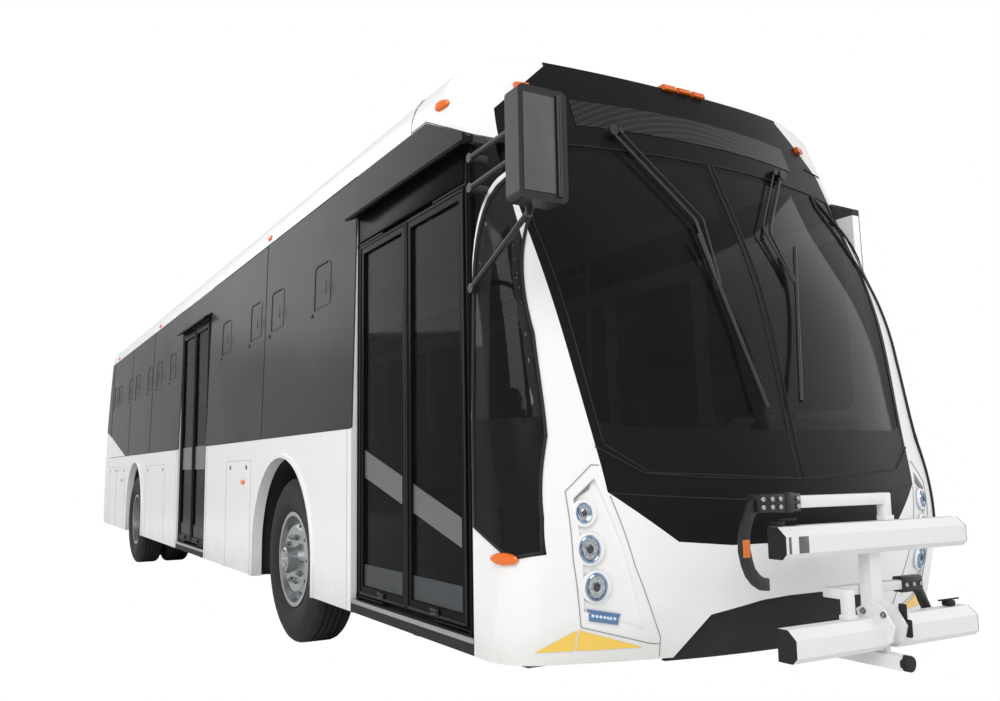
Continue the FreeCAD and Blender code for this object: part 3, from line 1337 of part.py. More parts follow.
def tube(points, radius, bend=60.0):
    """A round tube swept along straight runs, with a bend of the given radius at each corner."""
    spots = [Vector(*[float(value) for value in point]) for point in points]
    edges = []
    start = spots[0]
    for before, corner, after in zip(spots, spots[1:], spots[2:]):
        back = (before - corner).normalize()
        ahead = (after - corner).normalize()
        half_turn = back.getAngle(ahead) / 2
        enter = corner + back * (bend / math.tan(half_turn))
        leave = corner + ahead * (bend / math.tan(half_turn))
        middle = corner + (back + ahead).normalize() * (bend / math.sin(half_turn) - bend)
        edges.append(Part.LineSegment(start, enter).toShape())
        edges.append(Part.Arc(enter, middle, leave).toShape())
        start = leave
    edges.append(Part.LineSegment(start, spots[-1]).toShape())
    ring = Part.Wire(Part.makeCircle(radius, spots[0], spots[1] - spots[0]))
    return Part.Wire(edges).makePipeShell([ring], True, False)


MIRROR_X = 1265
MIRROR_Y = -3050
MIRROR_Z = 2020
MIRROR_HEIGHT = 420
DRIVER_MIRROR_Y = -2190
DRIVER_MIRROR_Z = 1940


def build_mirrors():
    """A large mirror on long bent arms ahead of the door, and a slim one beside the driver."""
    x = -MIRROR_X
    head = Part.makeBox(210, 90, MIRROR_HEIGHT, Vector(x - 105, MIRROR_Y - 45, MIRROR_Z))
    head = head.makeFillet(26, [e for e in head.Edges if abs(e.tangentAt(e.FirstParameter).y) > 0.9])
    top = MIRROR_Z + MIRROR_HEIGHT + 25
    stalk = Part.makeCylinder(14, top - MIRROR_Z + 30, Vector(x, MIRROR_Y + 56, MIRROR_Z - 30))
    arms = []
    for z, reach in ((2357, MIRROR_Z + 340), (2229, MIRROR_Z + 230), (1808, MIRROR_Z - 12)):
        arms.append(tube([(-1180, -2542, z), (-1256, -2545, z), (x, MIRROR_Y + 56, reach)], 12, 30))
        arms.append(Part.makeCylinder(20, 82, Vector(-1180, -2542, z), Vector(-1, 0, 0)))
    long_mirror = head.multiFuse([stalk, *arms])

    y, z = DRIVER_MIRROR_Y, DRIVER_MIRROR_Z
    slim = Part.makeBox(118, 60, 330, Vector(1252, y - 30, z))
    slim = slim.makeFillet(18, [e for e in slim.Edges if abs(e.tangentAt(e.FirstParameter).y) > 0.9])
    for low in (z + 60, z + 260):
        slim = slim.fuse(tube([(1180, y + 40, low), (1290, y + 40, low)], 11))
        slim = slim.fuse(Part.makeCylinder(20, 72, Vector(1180, y + 40, low), AXIS["X"]))
    both = Part.makeCompound([shape.cut(nose(-float(d.seat_gap))) for shape in (long_mirror, slim)])
    publish("mirrors", feature("mirror_shape", both))


build_nose()
build_tail()
build_sides()
build_floor()
build_housings()
build_frame()
build_axles()
build_suspension()
build_knuckles()
build_wheels()
lift_wheels()
build_door("front_door", -d.front_door_front, -d.front_door_rear, d.front_leaf_top_z, d.front_pillar_offset)
build_door("rear_door", d.rear_door_front, d.rear_door_rear, d.leaf_top_z, d.pillar_offset)
build_thresholds()
build_rack()
build_hooks()
build_inside()
build_seats()
build_mirrors()
build_handrails()
build_wipers()
build_lamps()

doc.recompute()
for item in doc.Objects:
    if "Invalid" in item.State or "Error" in item.State:
        raise RuntimeError(f"{item.Label} did not build: {item.State}")
for item in nodes:
    if item.Shape.isNull() or not item.Shape.isValid():
        raise RuntimeError(f"{item.Label} has no valid shape")

os.makedirs("parts", exist_ok=True)
for item in nodes:
    item.Shape.exportStep(f"parts/{item.Label}.step")
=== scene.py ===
"""Looks of the city bus: paint, glass, rubber and the fittings that the structure leaves plain."""
import math

import bmesh
import bpy
from mathutils import Matrix, Vector
from mathutils.bvhtree import BVHTree


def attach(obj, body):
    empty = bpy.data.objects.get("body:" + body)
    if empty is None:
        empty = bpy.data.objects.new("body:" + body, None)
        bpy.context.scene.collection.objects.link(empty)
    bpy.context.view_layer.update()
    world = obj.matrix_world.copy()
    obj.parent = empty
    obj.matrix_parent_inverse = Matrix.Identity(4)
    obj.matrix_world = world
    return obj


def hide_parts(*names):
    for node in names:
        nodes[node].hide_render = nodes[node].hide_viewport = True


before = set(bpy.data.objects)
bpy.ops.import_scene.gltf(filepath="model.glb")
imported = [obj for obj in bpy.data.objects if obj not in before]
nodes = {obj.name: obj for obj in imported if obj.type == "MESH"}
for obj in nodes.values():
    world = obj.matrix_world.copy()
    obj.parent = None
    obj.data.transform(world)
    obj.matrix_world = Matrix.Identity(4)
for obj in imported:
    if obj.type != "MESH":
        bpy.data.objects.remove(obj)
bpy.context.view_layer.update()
scene = bpy.context.scene
scene.view_settings.view_transform = "Standard"

WHEELBASE = 5.95
AXLE_Y = -2.7825
REAR_AXLE_Y = AXLE_Y + WHEELBASE
HUB_Z = 0.52


def at(x, y, z):
    """A point of the bus whose Y is counted from its front axle."""
    return x, y + AXLE_Y, z


# Colour and material helpers
def linear(code):
    """An sRGB hex colour as linear red, green, blue and alpha."""
    parts = [int(code[i:i + 2], 16) / 255 for i in (1, 3, 5)]
    return tuple(c / 12.92 if c <= 0.04045 else ((c + 0.055) / 1.055) ** 2.4 for c in parts) + (1.0,)


def add(tree, kind, settings=None, **inputs):
    """Adds a shader node; an input is a value, or a (node, output name) link."""
    item = tree.nodes.new(kind)
    for name, value in (settings or {}).items():
        setattr(item, name, value)
    for name, value in inputs.items():
        key = int(name[1:]) if name[0] == "i" and name[1:].isdigit() else name.replace("_", " ")
        socket = item.inputs[key]
        if isinstance(value, tuple) and len(value) == 2 and hasattr(value[0], "outputs"):
            tree.links.new(value[0].outputs[value[1]], socket)
        else:
            socket.default_value = value
    return item


def surface(name, **settings):
    """A new material with its principled shader set; returns the material, its tree and the shader."""
    material = bpy.data.materials.new(name)
    material.use_nodes = True
    tree = material.node_tree
    shader = tree.nodes["Principled BSDF"]
    for key, value in settings.items():
        shader.inputs[key.replace("_", " ")].default_value = value
    return material, tree, shader


def texture(tree, kind, cell_mm, **inputs):
    """A texture in object coordinates, one unit of its pattern being the given size."""
    where = add(tree, "ShaderNodeTexCoord")
    scale = 1000.0 / cell_mm
    spot = add(tree, "ShaderNodeMapping", Vector=(where, "Object"), Scale=(scale, scale, scale))
    return add(tree, kind, Vector=(spot, 0), Scale=1.0, **inputs)


def noise(tree, cell_mm, detail):
    """Cloudy noise with cells of the given size."""
    return texture(tree, "ShaderNodeTexNoise", cell_mm, Detail=detail)


def maths(tree, operation, *values):
    """A maths node fed with values or links in turn."""
    inputs = {f"i{i}": value for i, value in enumerate(values)}
    return add(tree, "ShaderNodeMath", {"operation": operation}, **inputs)


def tinted(tree, shader, pattern, low, high, start=0.0, end=1.0):
    """Colours the shader between two tones by a pattern."""
    ramp = add(tree, "ShaderNodeMapRange", i0=pattern, i1=start, i2=end)
    mix = add(tree, "ShaderNodeMix", {"data_type": "RGBA"}, i0=(ramp, 0))
    mix.inputs[6].default_value = linear(low)
    mix.inputs[7].default_value = linear(high)
    tree.links.new(mix.outputs[2], shader.inputs["Base Color"])


def bumped(tree, shader, pattern, depth_mm, strength):
    """Raises the surface's shading by a pattern, as deep as given."""
    bump = add(tree, "ShaderNodeBump", Height=pattern, Distance=depth_mm / 1000, Strength=strength)
    tree.links.new(bump.outputs["Normal"], shader.inputs["Normal"])


def white_coach_paint():
    """Two-pack polyester coach paint, sprayed: a deep gloss with faint orange peel and road film low down."""
    material, tree, shader = surface("coach_paint_white", Roughness=0.32, Coat_Weight=0.35,
                                     Coat_Roughness=0.08)
    peel = noise(tree, 9, 1.0)
    bumped(tree, shader, (peel, 0), 0.15, 0.12)
    where = add(tree, "ShaderNodeTexCoord")
    height = add(tree, "ShaderNodeSeparateXYZ", i0=(where, "Object"))
    blotch = noise(tree, 260, 6.0)
    lift = maths(tree, "MULTIPLY_ADD", (blotch, 0), 0.30, 0.24)
    film = maths(tree, "SUBTRACT", (lift, 0), (height, 2))
    tinted(tree, shader, (film, 0), "#f1f1f0", "#cfcdc8", -0.15, 0.25)
    return material


def black_gel_coat(name, low, high, sheen):
    """Moulded glass-fibre panel in black gel coat: smooth, dark and only a little reflective."""
    material, tree, shader = surface(name, Roughness=0.3, Specular_IOR_Level=sheen)
    wave = noise(tree, 180, 0.0)
    bumped(tree, shader, (wave, 0), 0.5, 0.08)
    fleck = noise(tree, 14, 4.0)
    tinted(tree, shader, (fleck, 0), low, high)
    return material


def grey_band_glass(name, low, high):
    """Bonded privacy glass, ceramic-coated behind: dark neutral grey, with broad lighter patches of painted
    sky reflection.
    """
    material, tree, shader = surface(name, Roughness=0.25, Specular_IOR_Level=0.02)
    # painted reflection: broad noise patches lighten the grey where sky would lie on the glass
    painted_sky_reflection = noise(tree, 700, 2.0)
    tinted(tree, shader, (painted_sky_reflection, 0), low, high, 0.3, 0.7)
    wave = noise(tree, 450, 0.0)
    bumped(tree, shader, (wave, 0), 0.6, 0.06)
    return material


def smoked_glass(name, tone, clear, sheen):
    """Laminated glass with a grey interlayer: clear to look through, mirror-like at a slant."""
    material, tree, shader = surface(name, Roughness=0.03, IOR=1.5, Alpha=clear, Specular_IOR_Level=sheen)
    smear = noise(tree, 320, 3.0)
    tinted(tree, shader, (smear, 0), tone, "#1d1f20")
    rough = add(tree, "ShaderNodeMapRange", i0=(smear, 0), i1=0.4, i2=0.8, i3=0.02, i4=0.07)
    tree.links.new(rough.outputs[0], shader.inputs["Roughness"])
    return material


def cast_alloy():
    """Machined forged aluminium: fine turning rings and a soft bright sheen."""
    material, tree, shader = surface("cast_alloy", Metallic=1.0, Roughness=0.34)
    grain = noise(tree, 6, 5.0)
    tinted(tree, shader, (grain, 0), "#9fa2a4", "#c3c5c6")
    rough = add(tree, "ShaderNodeMapRange", i0=(grain, 0), i1=0.3, i2=0.7, i3=0.26, i4=0.46)
    tree.links.new(rough.outputs[0], shader.inputs["Roughness"])
    bumped(tree, shader, (grain, 0), 0.12, 0.2)
    return material


def satin_coat(name, low, high, rough, grit_mm):
    """Powder-coated steel: even satin colour with a fine pebble."""
    material, tree, shader = surface(name, Roughness=rough)
    pebble = noise(tree, grit_mm, 3.0)
    tinted(tree, shader, (pebble, 0), low, high)
    bumped(tree, shader, (pebble, 0), 0.15, 0.25)
    return material


def tyre_rubber(name, axle_y):
    """Carbon-black tyre compound, dusty in patches, with cross cuts in the tread round its axle."""
    material, tree, shader = surface(name, Roughness=0.82)
    dust = noise(tree, 60, 6.0)
    tinted(tree, shader, (dust, 0), "#161616", "#2b2a29")
    rib_pitch, rounds, tread_from = 0.019, 96.0, 0.5
    where = add(tree, "ShaderNodeTexCoord")
    spot = add(tree, "ShaderNodeVectorMath", {"operation": "SUBTRACT"}, i0=(where, "Object"),
               i1=(0.0, axle_y, HUB_Z))
    part = add(tree, "ShaderNodeSeparateXYZ", i0=(spot, 0))
    angle = maths(tree, "ARCTAN2", (part, 1), (part, 2))
    sway = maths(tree, "PINGPONG", (part, 0), rib_pitch)
    bent = maths(tree, "MULTIPLY_ADD", (sway, 0), 1.6, (angle, 0))
    cuts = maths(tree, "MULTIPLY", (bent, 0), rounds)
    wave = maths(tree, "SINE", (cuts, 0))
    edge = add(tree, "ShaderNodeMapRange", i0=(wave, 0), i1=0.86, i2=0.94, i3=1.0, i4=0.0)
    flat = add(tree, "ShaderNodeCombineXYZ", i1=(part, 1), i2=(part, 2))
    reach = add(tree, "ShaderNodeVectorMath", {"operation": "LENGTH"}, i0=(flat, 0))
    tread = maths(tree, "GREATER_THAN", (reach, "Value"), tread_from)
    depth = maths(tree, "MULTIPLY", (edge, 0), (tread, 0))
    bumped(tree, shader, (depth, 0), 4.0, 0.8)
    return material


def moulded_plastic(name, low, high, rough):
    """Injection-moulded ABS with a leather-like mould grain."""
    material, tree, shader = surface(name, Roughness=rough)
    grain = texture(tree, "ShaderNodeTexVoronoi", 4)
    tone = noise(tree, 120, 4.0)
    tinted(tree, shader, (tone, 0), low, high)
    bumped(tree, shader, (grain, 0), 0.2, 0.25)
    return material


def vinyl_floor():
    """Sheet vinyl with mineral chips: mottled grey, dull and slightly rough."""
    material, tree, shader = surface("chip_vinyl", Roughness=0.7)
    chips = texture(tree, "ShaderNodeTexVoronoi", 14)
    tinted(tree, shader, (chips, 0), "#3b3d3f", "#6b6e70", 0.1, 0.8)
    bumped(tree, shader, (chips, 0), 0.2, 0.3)
    return material


def woven_cover():
    """Moquette seat cover: short dense pile, woven with a small even check."""
    material, tree, shader = surface("moquette_blue_grey", Roughness=0.9, Sheen_Weight=0.4)
    check = texture(tree, "ShaderNodeTexChecker", 22)
    pile = noise(tree, 2, 2.0)
    tinted(tree, shader, (check, 1), "#2b3646", "#37465c")
    bumped(tree, shader, (pile, 0), 0.8, 0.5)
    return material


def marker_lenses():
    """Moulded acrylic lamp lenses, amber at the front of the bus and red at its tail."""
    material, tree, shader = surface("marker_acrylic", Roughness=0.1, IOR=1.49, Coat_Weight=0.4)
    where = add(tree, "ShaderNodeTexCoord")
    spot = add(tree, "ShaderNodeSeparateXYZ", i0=(where, "Object"))
    tinted(tree, shader, (spot, 1), "#d9640f", "#b01712", -1.0, 1.0)
    flute = texture(tree, "ShaderNodeTexWave", 9)
    bumped(tree, shader, (flute, 1), 0.4, 0.5)
    return material


def display_face():
    """Destination display behind glass, switched off: rows of unlit amber diodes 12 mm apart."""
    material, tree, shader = surface("diode_matrix_off", Roughness=0.35, Specular_IOR_Level=0.25)
    cells = texture(tree, "ShaderNodeTexVoronoi", 12, Randomness=0.0)
    tinted(tree, shader, (cells, 0), "#5a5651", "#191a1b", 0.2, 0.34)
    return material


def bright_metal(name, low, high, rough):
    """Plated or plainly machined metal: a clean sheen with fine wipe marks; where its two tones lie far
    apart, the marks are painted glints and reflections.
    """
    material, tree, shader = surface(name, Metallic=1.0, Roughness=rough)
    # wipe marks on most metals; painted glints and reflections where the low and high tones differ widely
    wipe_marks_and_glints = noise(tree, 8, 4.0)
    tinted(tree, shader, (wipe_marks_and_glints, 0), low, high)
    return material


def lens(name, tone, glow=0.0):
    """Moulded acrylic lens with fluting behind it."""
    material, tree, shader = surface(name, Roughness=0.08, IOR=1.49, Coat_Weight=0.6)
    flute = texture(tree, "ShaderNodeTexWave", 9)
    tinted(tree, shader, (flute, 1), tone, tone)
    bumped(tree, shader, (flute, 1), 0.4, 0.5)
    if glow:
        shader.inputs["Emission Color"].default_value = linear(tone)
        shader.inputs["Emission Strength"].default_value = glow
    return material


PAINT = white_coach_paint()
BLACK = black_gel_coat("gel_coat_black", "#18191a", "#1f2021", 0.05)
DOOR_FRAME = black_gel_coat("door_frame_black", "#0e0f10", "#151617", 0.03)
BAND = grey_band_glass("privacy_glass_grey", "#414244", "#494a4c")
VENT_GLASS = grey_band_glass("vent_glass_grey", "#3e3f41", "#464749")
SCREEN = smoked_glass("windscreen_laminate", "#101213", 0.62, 0.12)
DOOR_PANE = smoked_glass("door_safety_glass", "#0f1112", 0.5, 0.05)
REAR_PANE = smoked_glass("rear_privacy_glass", "#121314", 0.85, 0.3)
ALLOY = cast_alloy()
CHASSIS = satin_coat("chassis_wax_black", "#1b1c1e", "#2c2e30", 0.6, 12)
RACK_WHITE = satin_coat("rack_powder_coat_white", "#dfe0df", "#ecedec", 0.38, 5)
BLACK_COAT = satin_coat("powder_coat_black", "#151617", "#202122", 0.42, 5)
YELLOW_COAT = satin_coat("powder_coat_yellow", "#d9a916", "#e6b822", 0.35, 5)
RUBBER_FRONT = tyre_rubber("tyre_compound_front", AXLE_Y)
RUBBER_REAR = tyre_rubber("tyre_compound_rear", REAR_AXLE_Y)
SEAL = moulded_plastic("epdm_seal_black", "#0e0e0f", "#19191a", 0.7)
LINER = moulded_plastic("arch_liner_plastic", "#161718", "#232425", 0.8)
DASH = moulded_plastic("dash_moulding_grey", "#303336", "#43474a", 0.65)
GREY_PANEL = moulded_plastic("grey_gel_coat", "#57585a", "#636466", 0.3)
FLOOR_VINYL = vinyl_floor()
MOQUETTE = woven_cover()
AMBER = lens("amber_acrylic", "#d9640f", 0.15)
# painted light: a faint glow on the red rear reflectors, which have no lamp behind them
RED_GLOWING_LENS = lens("red_acrylic_painted_glow", "#b5150f", 0.1)
YELLOW_FILM = satin_coat("reflective_yellow_film", "#efc34b", "#f8d365", 0.3, 3)
LAMP_GLASS = lens("clear_lamp_acrylic", "#b9c4cc")
MARKERS = marker_lenses()
MATRIX = display_face()
CHROME = bright_metal("chrome_plate", "#c4c6c8", "#dcdee0", 0.12)
# painted reflection: the reflector bowls run from dark grey to near white in small patches, as chrome facets
# mirror their surroundings
REFLECTOR_GLINTS = bright_metal("aluminised_reflector_painted_glints", "#59626c", "#eceff2", 0.16)
# painted reflection: the bezels' blue and their dark-to-light patches stand for sky mirrored in chrome
BLUE_REFLECTION_RIM = bright_metal("chrome_painted_blue_reflection", "#4f6f9e", "#bcd0e6", 0.2)
LED_LENS = lens("led_bar_acrylic_blue", "#54769f")
# painted shade: grey metal sheets on the upper inner walls of the headlamp pockets, where shade falls
POCKET_SHADE_METAL = bright_metal("pocket_shade_grey_metal", "#8c9093", "#a9acae", 0.4)
NUT_STEEL = bright_metal("zinc_plated_steel", "#7d7f80", "#a3a5a6", 0.36)
MIRROR = bright_metal("silvered_mirror", "#cfd3d6", "#d8dbdd", 0.03)
# painted highlight: lighter grey than the black mirror housing, for the lit facet on its front face
MIRROR_FACET_HIGHLIGHT = moulded_plastic("mirror_cover_painted_highlight", "#4a4b4d", "#58595b", 0.4)
PROJECTOR = lens("projector_lens_glass", "#2b3138")
CHIP = satin_coat("led_optics_cool_white", "#b7d2f2", "#eef5fc", 0.3, 4)
SHADE_LINE = moulded_plastic("joint_sealant_grey", "#8d8e8f", "#9b9c9d", 0.8)
AMBER_FILM = satin_coat("sticker_orange", "#c9661e", "#d9772c", 0.5, 3)
TREAD_RUBBER = moulded_plastic("step_rubber_black", "#141415", "#222223", 0.85)

CAD_FINISH = {name: finish for finish, names in (
    (PAINT, "front_cap front_corners front_bumper rear_cap roof_shell side_wall_left side_wall_right"
            " engine_hatch"),
    (BAND, "cant_rails side_glass"),
    (BLACK, "front_mask display_glass door_visors"),
    (BLACK_COAT, "mirrors wipers"),
    (SCREEN, "windscreen"),
    (REAR_PANE, "rear_window"),
    (LAMP_GLASS, "headlamps"),
    (MARKERS, "body_lamps"),
    (LINER, "bumper_intake wheel_housings driver_seat passenger_seats door_sills"),
    (CHASSIS, "chassis_frame front_axle_beam rear_axle_housing suspension track_rod knuckle_left"
              " knuckle_right engine_block"),
    (FLOOR_VINYL, "floor_deck"),
    (DASH, "dashboard"),
    (RACK_WHITE, "rack_frame rack_hitch rack_hooks"),
    (YELLOW_COAT, "handrails"),
    (SEAL, "steering_wheel"),
) for name in names.split()}


def finish_for(name):
    """The material of a structure node, by its kind or else by its name."""
    if name.startswith(("front_rim", "rear_rims")):
        return ALLOY
    if name.startswith("front_tyre"):
        return RUBBER_FRONT
    if name.startswith("rear_tyres"):
        return RUBBER_REAR
    if name.endswith(("_pillar", "_leaf")):
        return DOOR_FRAME
    if "_door_" in name:
        return DOOR_PANE
    return CAD_FINISH[name]


for name, thing in nodes.items():
    for part_slot in thing.material_slots:
        part_slot.material = finish_for(name)


# Ways of making pieces
def linked(name, data):
    """A new object in the scene."""
    item = bpy.data.objects.new(name, data)
    scene.collection.objects.link(item)
    return item


def skin_of(*names):
    """One search tree over the faces of some structure nodes."""
    bm = bmesh.new()
    for name in names:
        bm.from_mesh(nodes[name].data)
    tree = BVHTree.FromBMesh(bm)
    bm.free()
    return tree


# For each side, which way one looks and where that look starts, well outside the bus
SIGHT = {
    "front": (Vector((0, 1, 0)), lambda u, v: Vector((u, -8, v))),
    "rear": (Vector((0, -1, 0)), lambda u, v: Vector((u, 8, v))),
    "right": (Vector((1, 0, 0)), lambda u, v: Vector(at(-2, u, v))),
    "left": (Vector((-1, 0, 0)), lambda u, v: Vector(at(2, u, v))),
    "top": (Vector((0, 0, -1)), lambda u, v: Vector(at(u, v, 4))),
}
JOINT = 0.004  # widest joint between two panels that a look may fall into
NEARBY = ((0, 0), (JOINT, 0), (-JOINT, 0), (0, JOINT), (0, -JOINT))
WELD = 0.00002  # corners closer than this are one
SKIN_GAP = 0.0004  # keeps a cover's underside off the skin, so that no two faces coincide
SEAM_STEP = 0.06  # longest straight stretch of a seam


def lay(side, u, v, skin):
    """The point and outward normal of a skin, seen from one side; a joint takes those of its nearer edge."""
    direction, start = SIGHT[side]
    hits = []
    for du, dv in NEARBY:
        spot, normal, _, _ = skin.ray_cast(start(u + du, v + dv), direction)
        if spot is not None:
            hits.append((direction.dot(spot), normal))
    if not hits:
        raise ValueError(f"nothing lies behind {side} {u:.3f} {v:.3f}")
    depth, normal = min(hits, key=lambda hit: hit[0])
    home = start(u, v)
    return home + direction * (depth - direction.dot(home)), normal if normal.dot(direction) < 0 else -normal


def seat_on(side, u, v, skin, lift=0.0):
    """A matrix whose Z stands out of the skin there, with X level."""
    spot, normal = lay(side, u, v, skin)
    return Matrix.Translation(spot + normal * lift) @ normal.to_track_quat("Z", "Y").to_matrix().to_4x4()


def finished(name, bm, finish, body="bus_body", crease=35, stands_for=()):
    """Makes a mesh form a piece: closed, facing outwards, smooth but for its edges, riding on its body."""
    bmesh.ops.remove_doubles(bm, verts=bm.verts[:], dist=WELD)
    bmesh.ops.recalc_face_normals(bm, faces=bm.faces[:])
    mesh = bpy.data.meshes.new(name)
    bm.to_mesh(mesh)
    bm.free()
    mesh.materials.append(finish)
    mesh.shade_smooth()
    mesh.set_sharp_from_angle(angle=math.radians(crease))
    piece = linked(name, mesh)
    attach(piece, body)
    if stands_for:
        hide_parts(*stands_for)
    return piece


def block(bm, low, high, round_off):
    """A box between two corners with its edges rounded."""
    low, high = Vector(low), Vector(high)
    place = Matrix.Translation((low + high) / 2) @ Matrix.Diagonal((*(high - low), 1))
    made = bmesh.ops.create_cube(bm, size=1, matrix=place)["verts"]
    edges = list({edge for vert in made for edge in vert.link_edges})
    bmesh.ops.bevel(bm, geom=edges, offset=round_off, segments=2, profile=0.5, affect="EDGES", material=-1)


def blocks(name, boxes, finish, body="bus_body", stands_for=()):
    """A piece made of rounded boxes, each given by two corners and the radius of its edges."""
    bm = bmesh.new()
    for low, high, round_off in boxes:
        block(bm, low, high, round_off)
    finished(name, bm, finish, body, stands_for=stands_for)


def raised(bm, faces):
    """Extrudes faces into a closed form and returns the corners that are to be moved."""
    grown = bmesh.ops.extrude_face_region(bm, geom=faces, use_keep_orig=True)
    return [item for item in grown["geom"] if isinstance(item, bmesh.types.BMVert)]


def bm_face(bm, corners):
    """A face between new corners."""
    return bm.faces.new([bm.verts.new(corner) for corner in corners])


def placed(bm, form, place):
    """Adds a form to a piece, moved by a matrix."""
    form.transform(place)
    mesh = bpy.data.meshes.new("form")
    form.to_mesh(mesh)
    form.free()
    bm.from_mesh(mesh)
    bpy.data.meshes.remove(mesh)


def lathe(bm, profile, place, steps=32):
    """Spins an outline of height and radius pairs round Z and puts the closed form in place."""
    form = bmesh.new()
    ring = [form.verts.new((radius, 0, height)) for height, radius in profile]
    edges = [form.edges.new(pair) for pair in zip(ring, ring[1:])]
    bmesh.ops.spin(form, geom=ring + edges, cent=(0, 0, 0), axis=(0, 0, 1), angle=2 * math.pi, steps=steps,
                   use_merge=True)
    placed(bm, form, place)


def draped(name, side, outlines, skin, finish, body="bus_body", thick=0.002, cell=0.07,
           corner=0.0):
    """Thin covers whose outlines, drawn as seen from one side, lie on a curved skin."""
    bm = bmesh.new()
    for outline in outlines:
        bm_face(bm, [(u, v, 0) for u, v in outline])
    if corner:
        bmesh.ops.bevel(bm, geom=bm.verts[:], offset=corner, segments=4, profile=0.5, affect="VERTICES",
                        material=-1)
    for axis in (0, 1):
        low = min(vert.co[axis] for vert in bm.verts)
        high = max(vert.co[axis] for vert in bm.verts)
        across = Vector((1 - axis, axis, 0))
        for i in range(1, int((high - low) / cell) + 1):
            bmesh.ops.bisect_plane(bm, geom=bm.verts[:] + bm.edges[:] + bm.faces[:],
                                   plane_co=across * (low + i * cell), plane_no=across)
    for vert in bm.verts:
        spot, normal = lay(side, vert.co.x, vert.co.y, skin)
        vert.co = spot + normal * SKIN_GAP
    toward = -SIGHT[side][0]
    for vert in raised(bm, bm.faces[:]):
        normal = skin.find_nearest(vert.co)[1]
        vert.co += (normal if normal.dot(toward) > 0 else toward) * thick
    return finished(name, bm, finish, body)


def seams(name, sides, paths, skin, finish, width, sink=0.0):
    """Round beads half sunk into a skin, or deeper, along paths drawn as seen from the given sides."""
    curve = bpy.data.curves.new(name, "CURVE")
    curve.dimensions = "3D"
    curve.bevel_depth = width / 2
    curve.bevel_resolution = 1
    curve.use_fill_caps = True
    for path, side in [(path, side) for path in paths for side in sides.split()]:
        spots = []
        for start, end in zip(path, path[1:]):
            count = max(1, math.ceil(math.dist(start, end) / SEAM_STEP))
            for i in range(count + (end == path[-1])):
                share = i / count
                spots.append(lay(side, start[0] + (end[0] - start[0]) * share,
                                 start[1] + (end[1] - start[1]) * share, skin)[0])
        spline = curve.splines.new("POLY")
        spline.points.add(len(spots) - 1)
        for point, spot in zip(spline.points, spots):
            point.co = (*(spot + SIGHT[side][0] * sink), 1)
    curve.materials.append(finish)
    piece = linked(name, curve)
    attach(piece, "bus_body")


def both(outline):
    """An outline of one half and its mirror image."""
    return [outline, [(-u, v) for u, v in reversed(outline)]]


def quad(u_from, u_to, v_from, v_to):
    """A rectangle's outline."""
    return [(u_from, v_from), (u_to, v_from), (u_to, v_to), (u_from, v_to)]


def closed(outline):
    """An outline as a path that comes back to its start."""
    return [*outline, outline[0]]


def turned(spot, quarters, axis):
    """A matrix at a spot, turned by quarters of a circle about an axis."""
    return Matrix.Translation(spot) @ Matrix.Rotation(quarters * math.pi / 2, 4, axis)


NOSE = skin_of("front_mask", "windscreen", "display_glass", "front_cap", "front_corners", "front_bumper")
FLANK = skin_of("side_wall_right", "side_wall_left", "side_glass", "cant_rails", "front_corners", "rear_cap",
                "front_cap", "front_mask", "roof_shell")
TAIL = skin_of("rear_cap", "rear_window", "engine_hatch")


# Front
def screen_trims():
    edge = [(0.018, 1.03), (0.726, 1.06), (0.891, 1.168), (0.904, 1.258), (0.8, 1.236), (0.018, 1.222)]
    draped("windscreen_frit", "front", both(edge), NOSE, BLACK, thick=0.0008)
    pane = [(0.017, 2.5), (1.012, 2.5), (1.014, 2.08), (0.918, 1.35), (0.893, 1.167), (0.727, 1.057),
            (0.017, 1.027), (0.017, 2.5)]
    line = [(0.0, 1.024), (0.17, 1.026), (0.514, 1.038), (0.751, 1.057), (0.928, 1.158)]
    fold = [(0.0, 0.945), (0.346, 0.948), (0.614, 0.963), (0.893, 0.982)]
    seams("windscreen_gaskets", "front", both(pane) + both(line) + both(fold), NOSE, SEAL, 0.007)
    quarter = [(-2.536, 2.49), (-2.566, 2.42), (-2.644, 2.07), (-2.762, 1.6), (-2.836, 1.2), (-2.866, 0.9),
               (-2.868, 0.775), (-2.79, 0.752), (-2.536, 0.852), (-2.536, 2.49)]
    black = [(-2.536, 1.27), (-2.818, 1.27), (-2.834, 1.2), (-2.864, 0.9), (-2.866, 0.78), (-2.79, 0.757),
             (-2.536, 0.858)]
    for side in ("right", "left"):
        seams(f"quarter_gasket_{side}", side, [quarter], NOSE, SEAL, 0.016)
        draped(f"quarter_frit_{side}", side, [black], NOSE, BLACK, thick=0.0008, cell=0.05)


def destination_matrix():
    draped("display_matrix", "front", [quad(-0.69, 0.69, 2.612, 2.75)], NOSE, MATRIX, thick=0.001)


# Headlamps: X and Z of the middle, radius of the seat, radius of the lamp
LAMPS = ((1.0, 0.912, 0.048, 0.036), (0.985, 0.781, 0.058, 0.049), (0.954, 0.642, 0.058, 0.051))
# A domed lens of radius 1, which each lamp stretches to its own width and height
DOME = [(-0.002, 0.0), (-0.002, 1.0), (0.004, 1.0), (0.011, 0.86), (0.015, 0.5), (0.016, 0.0)]


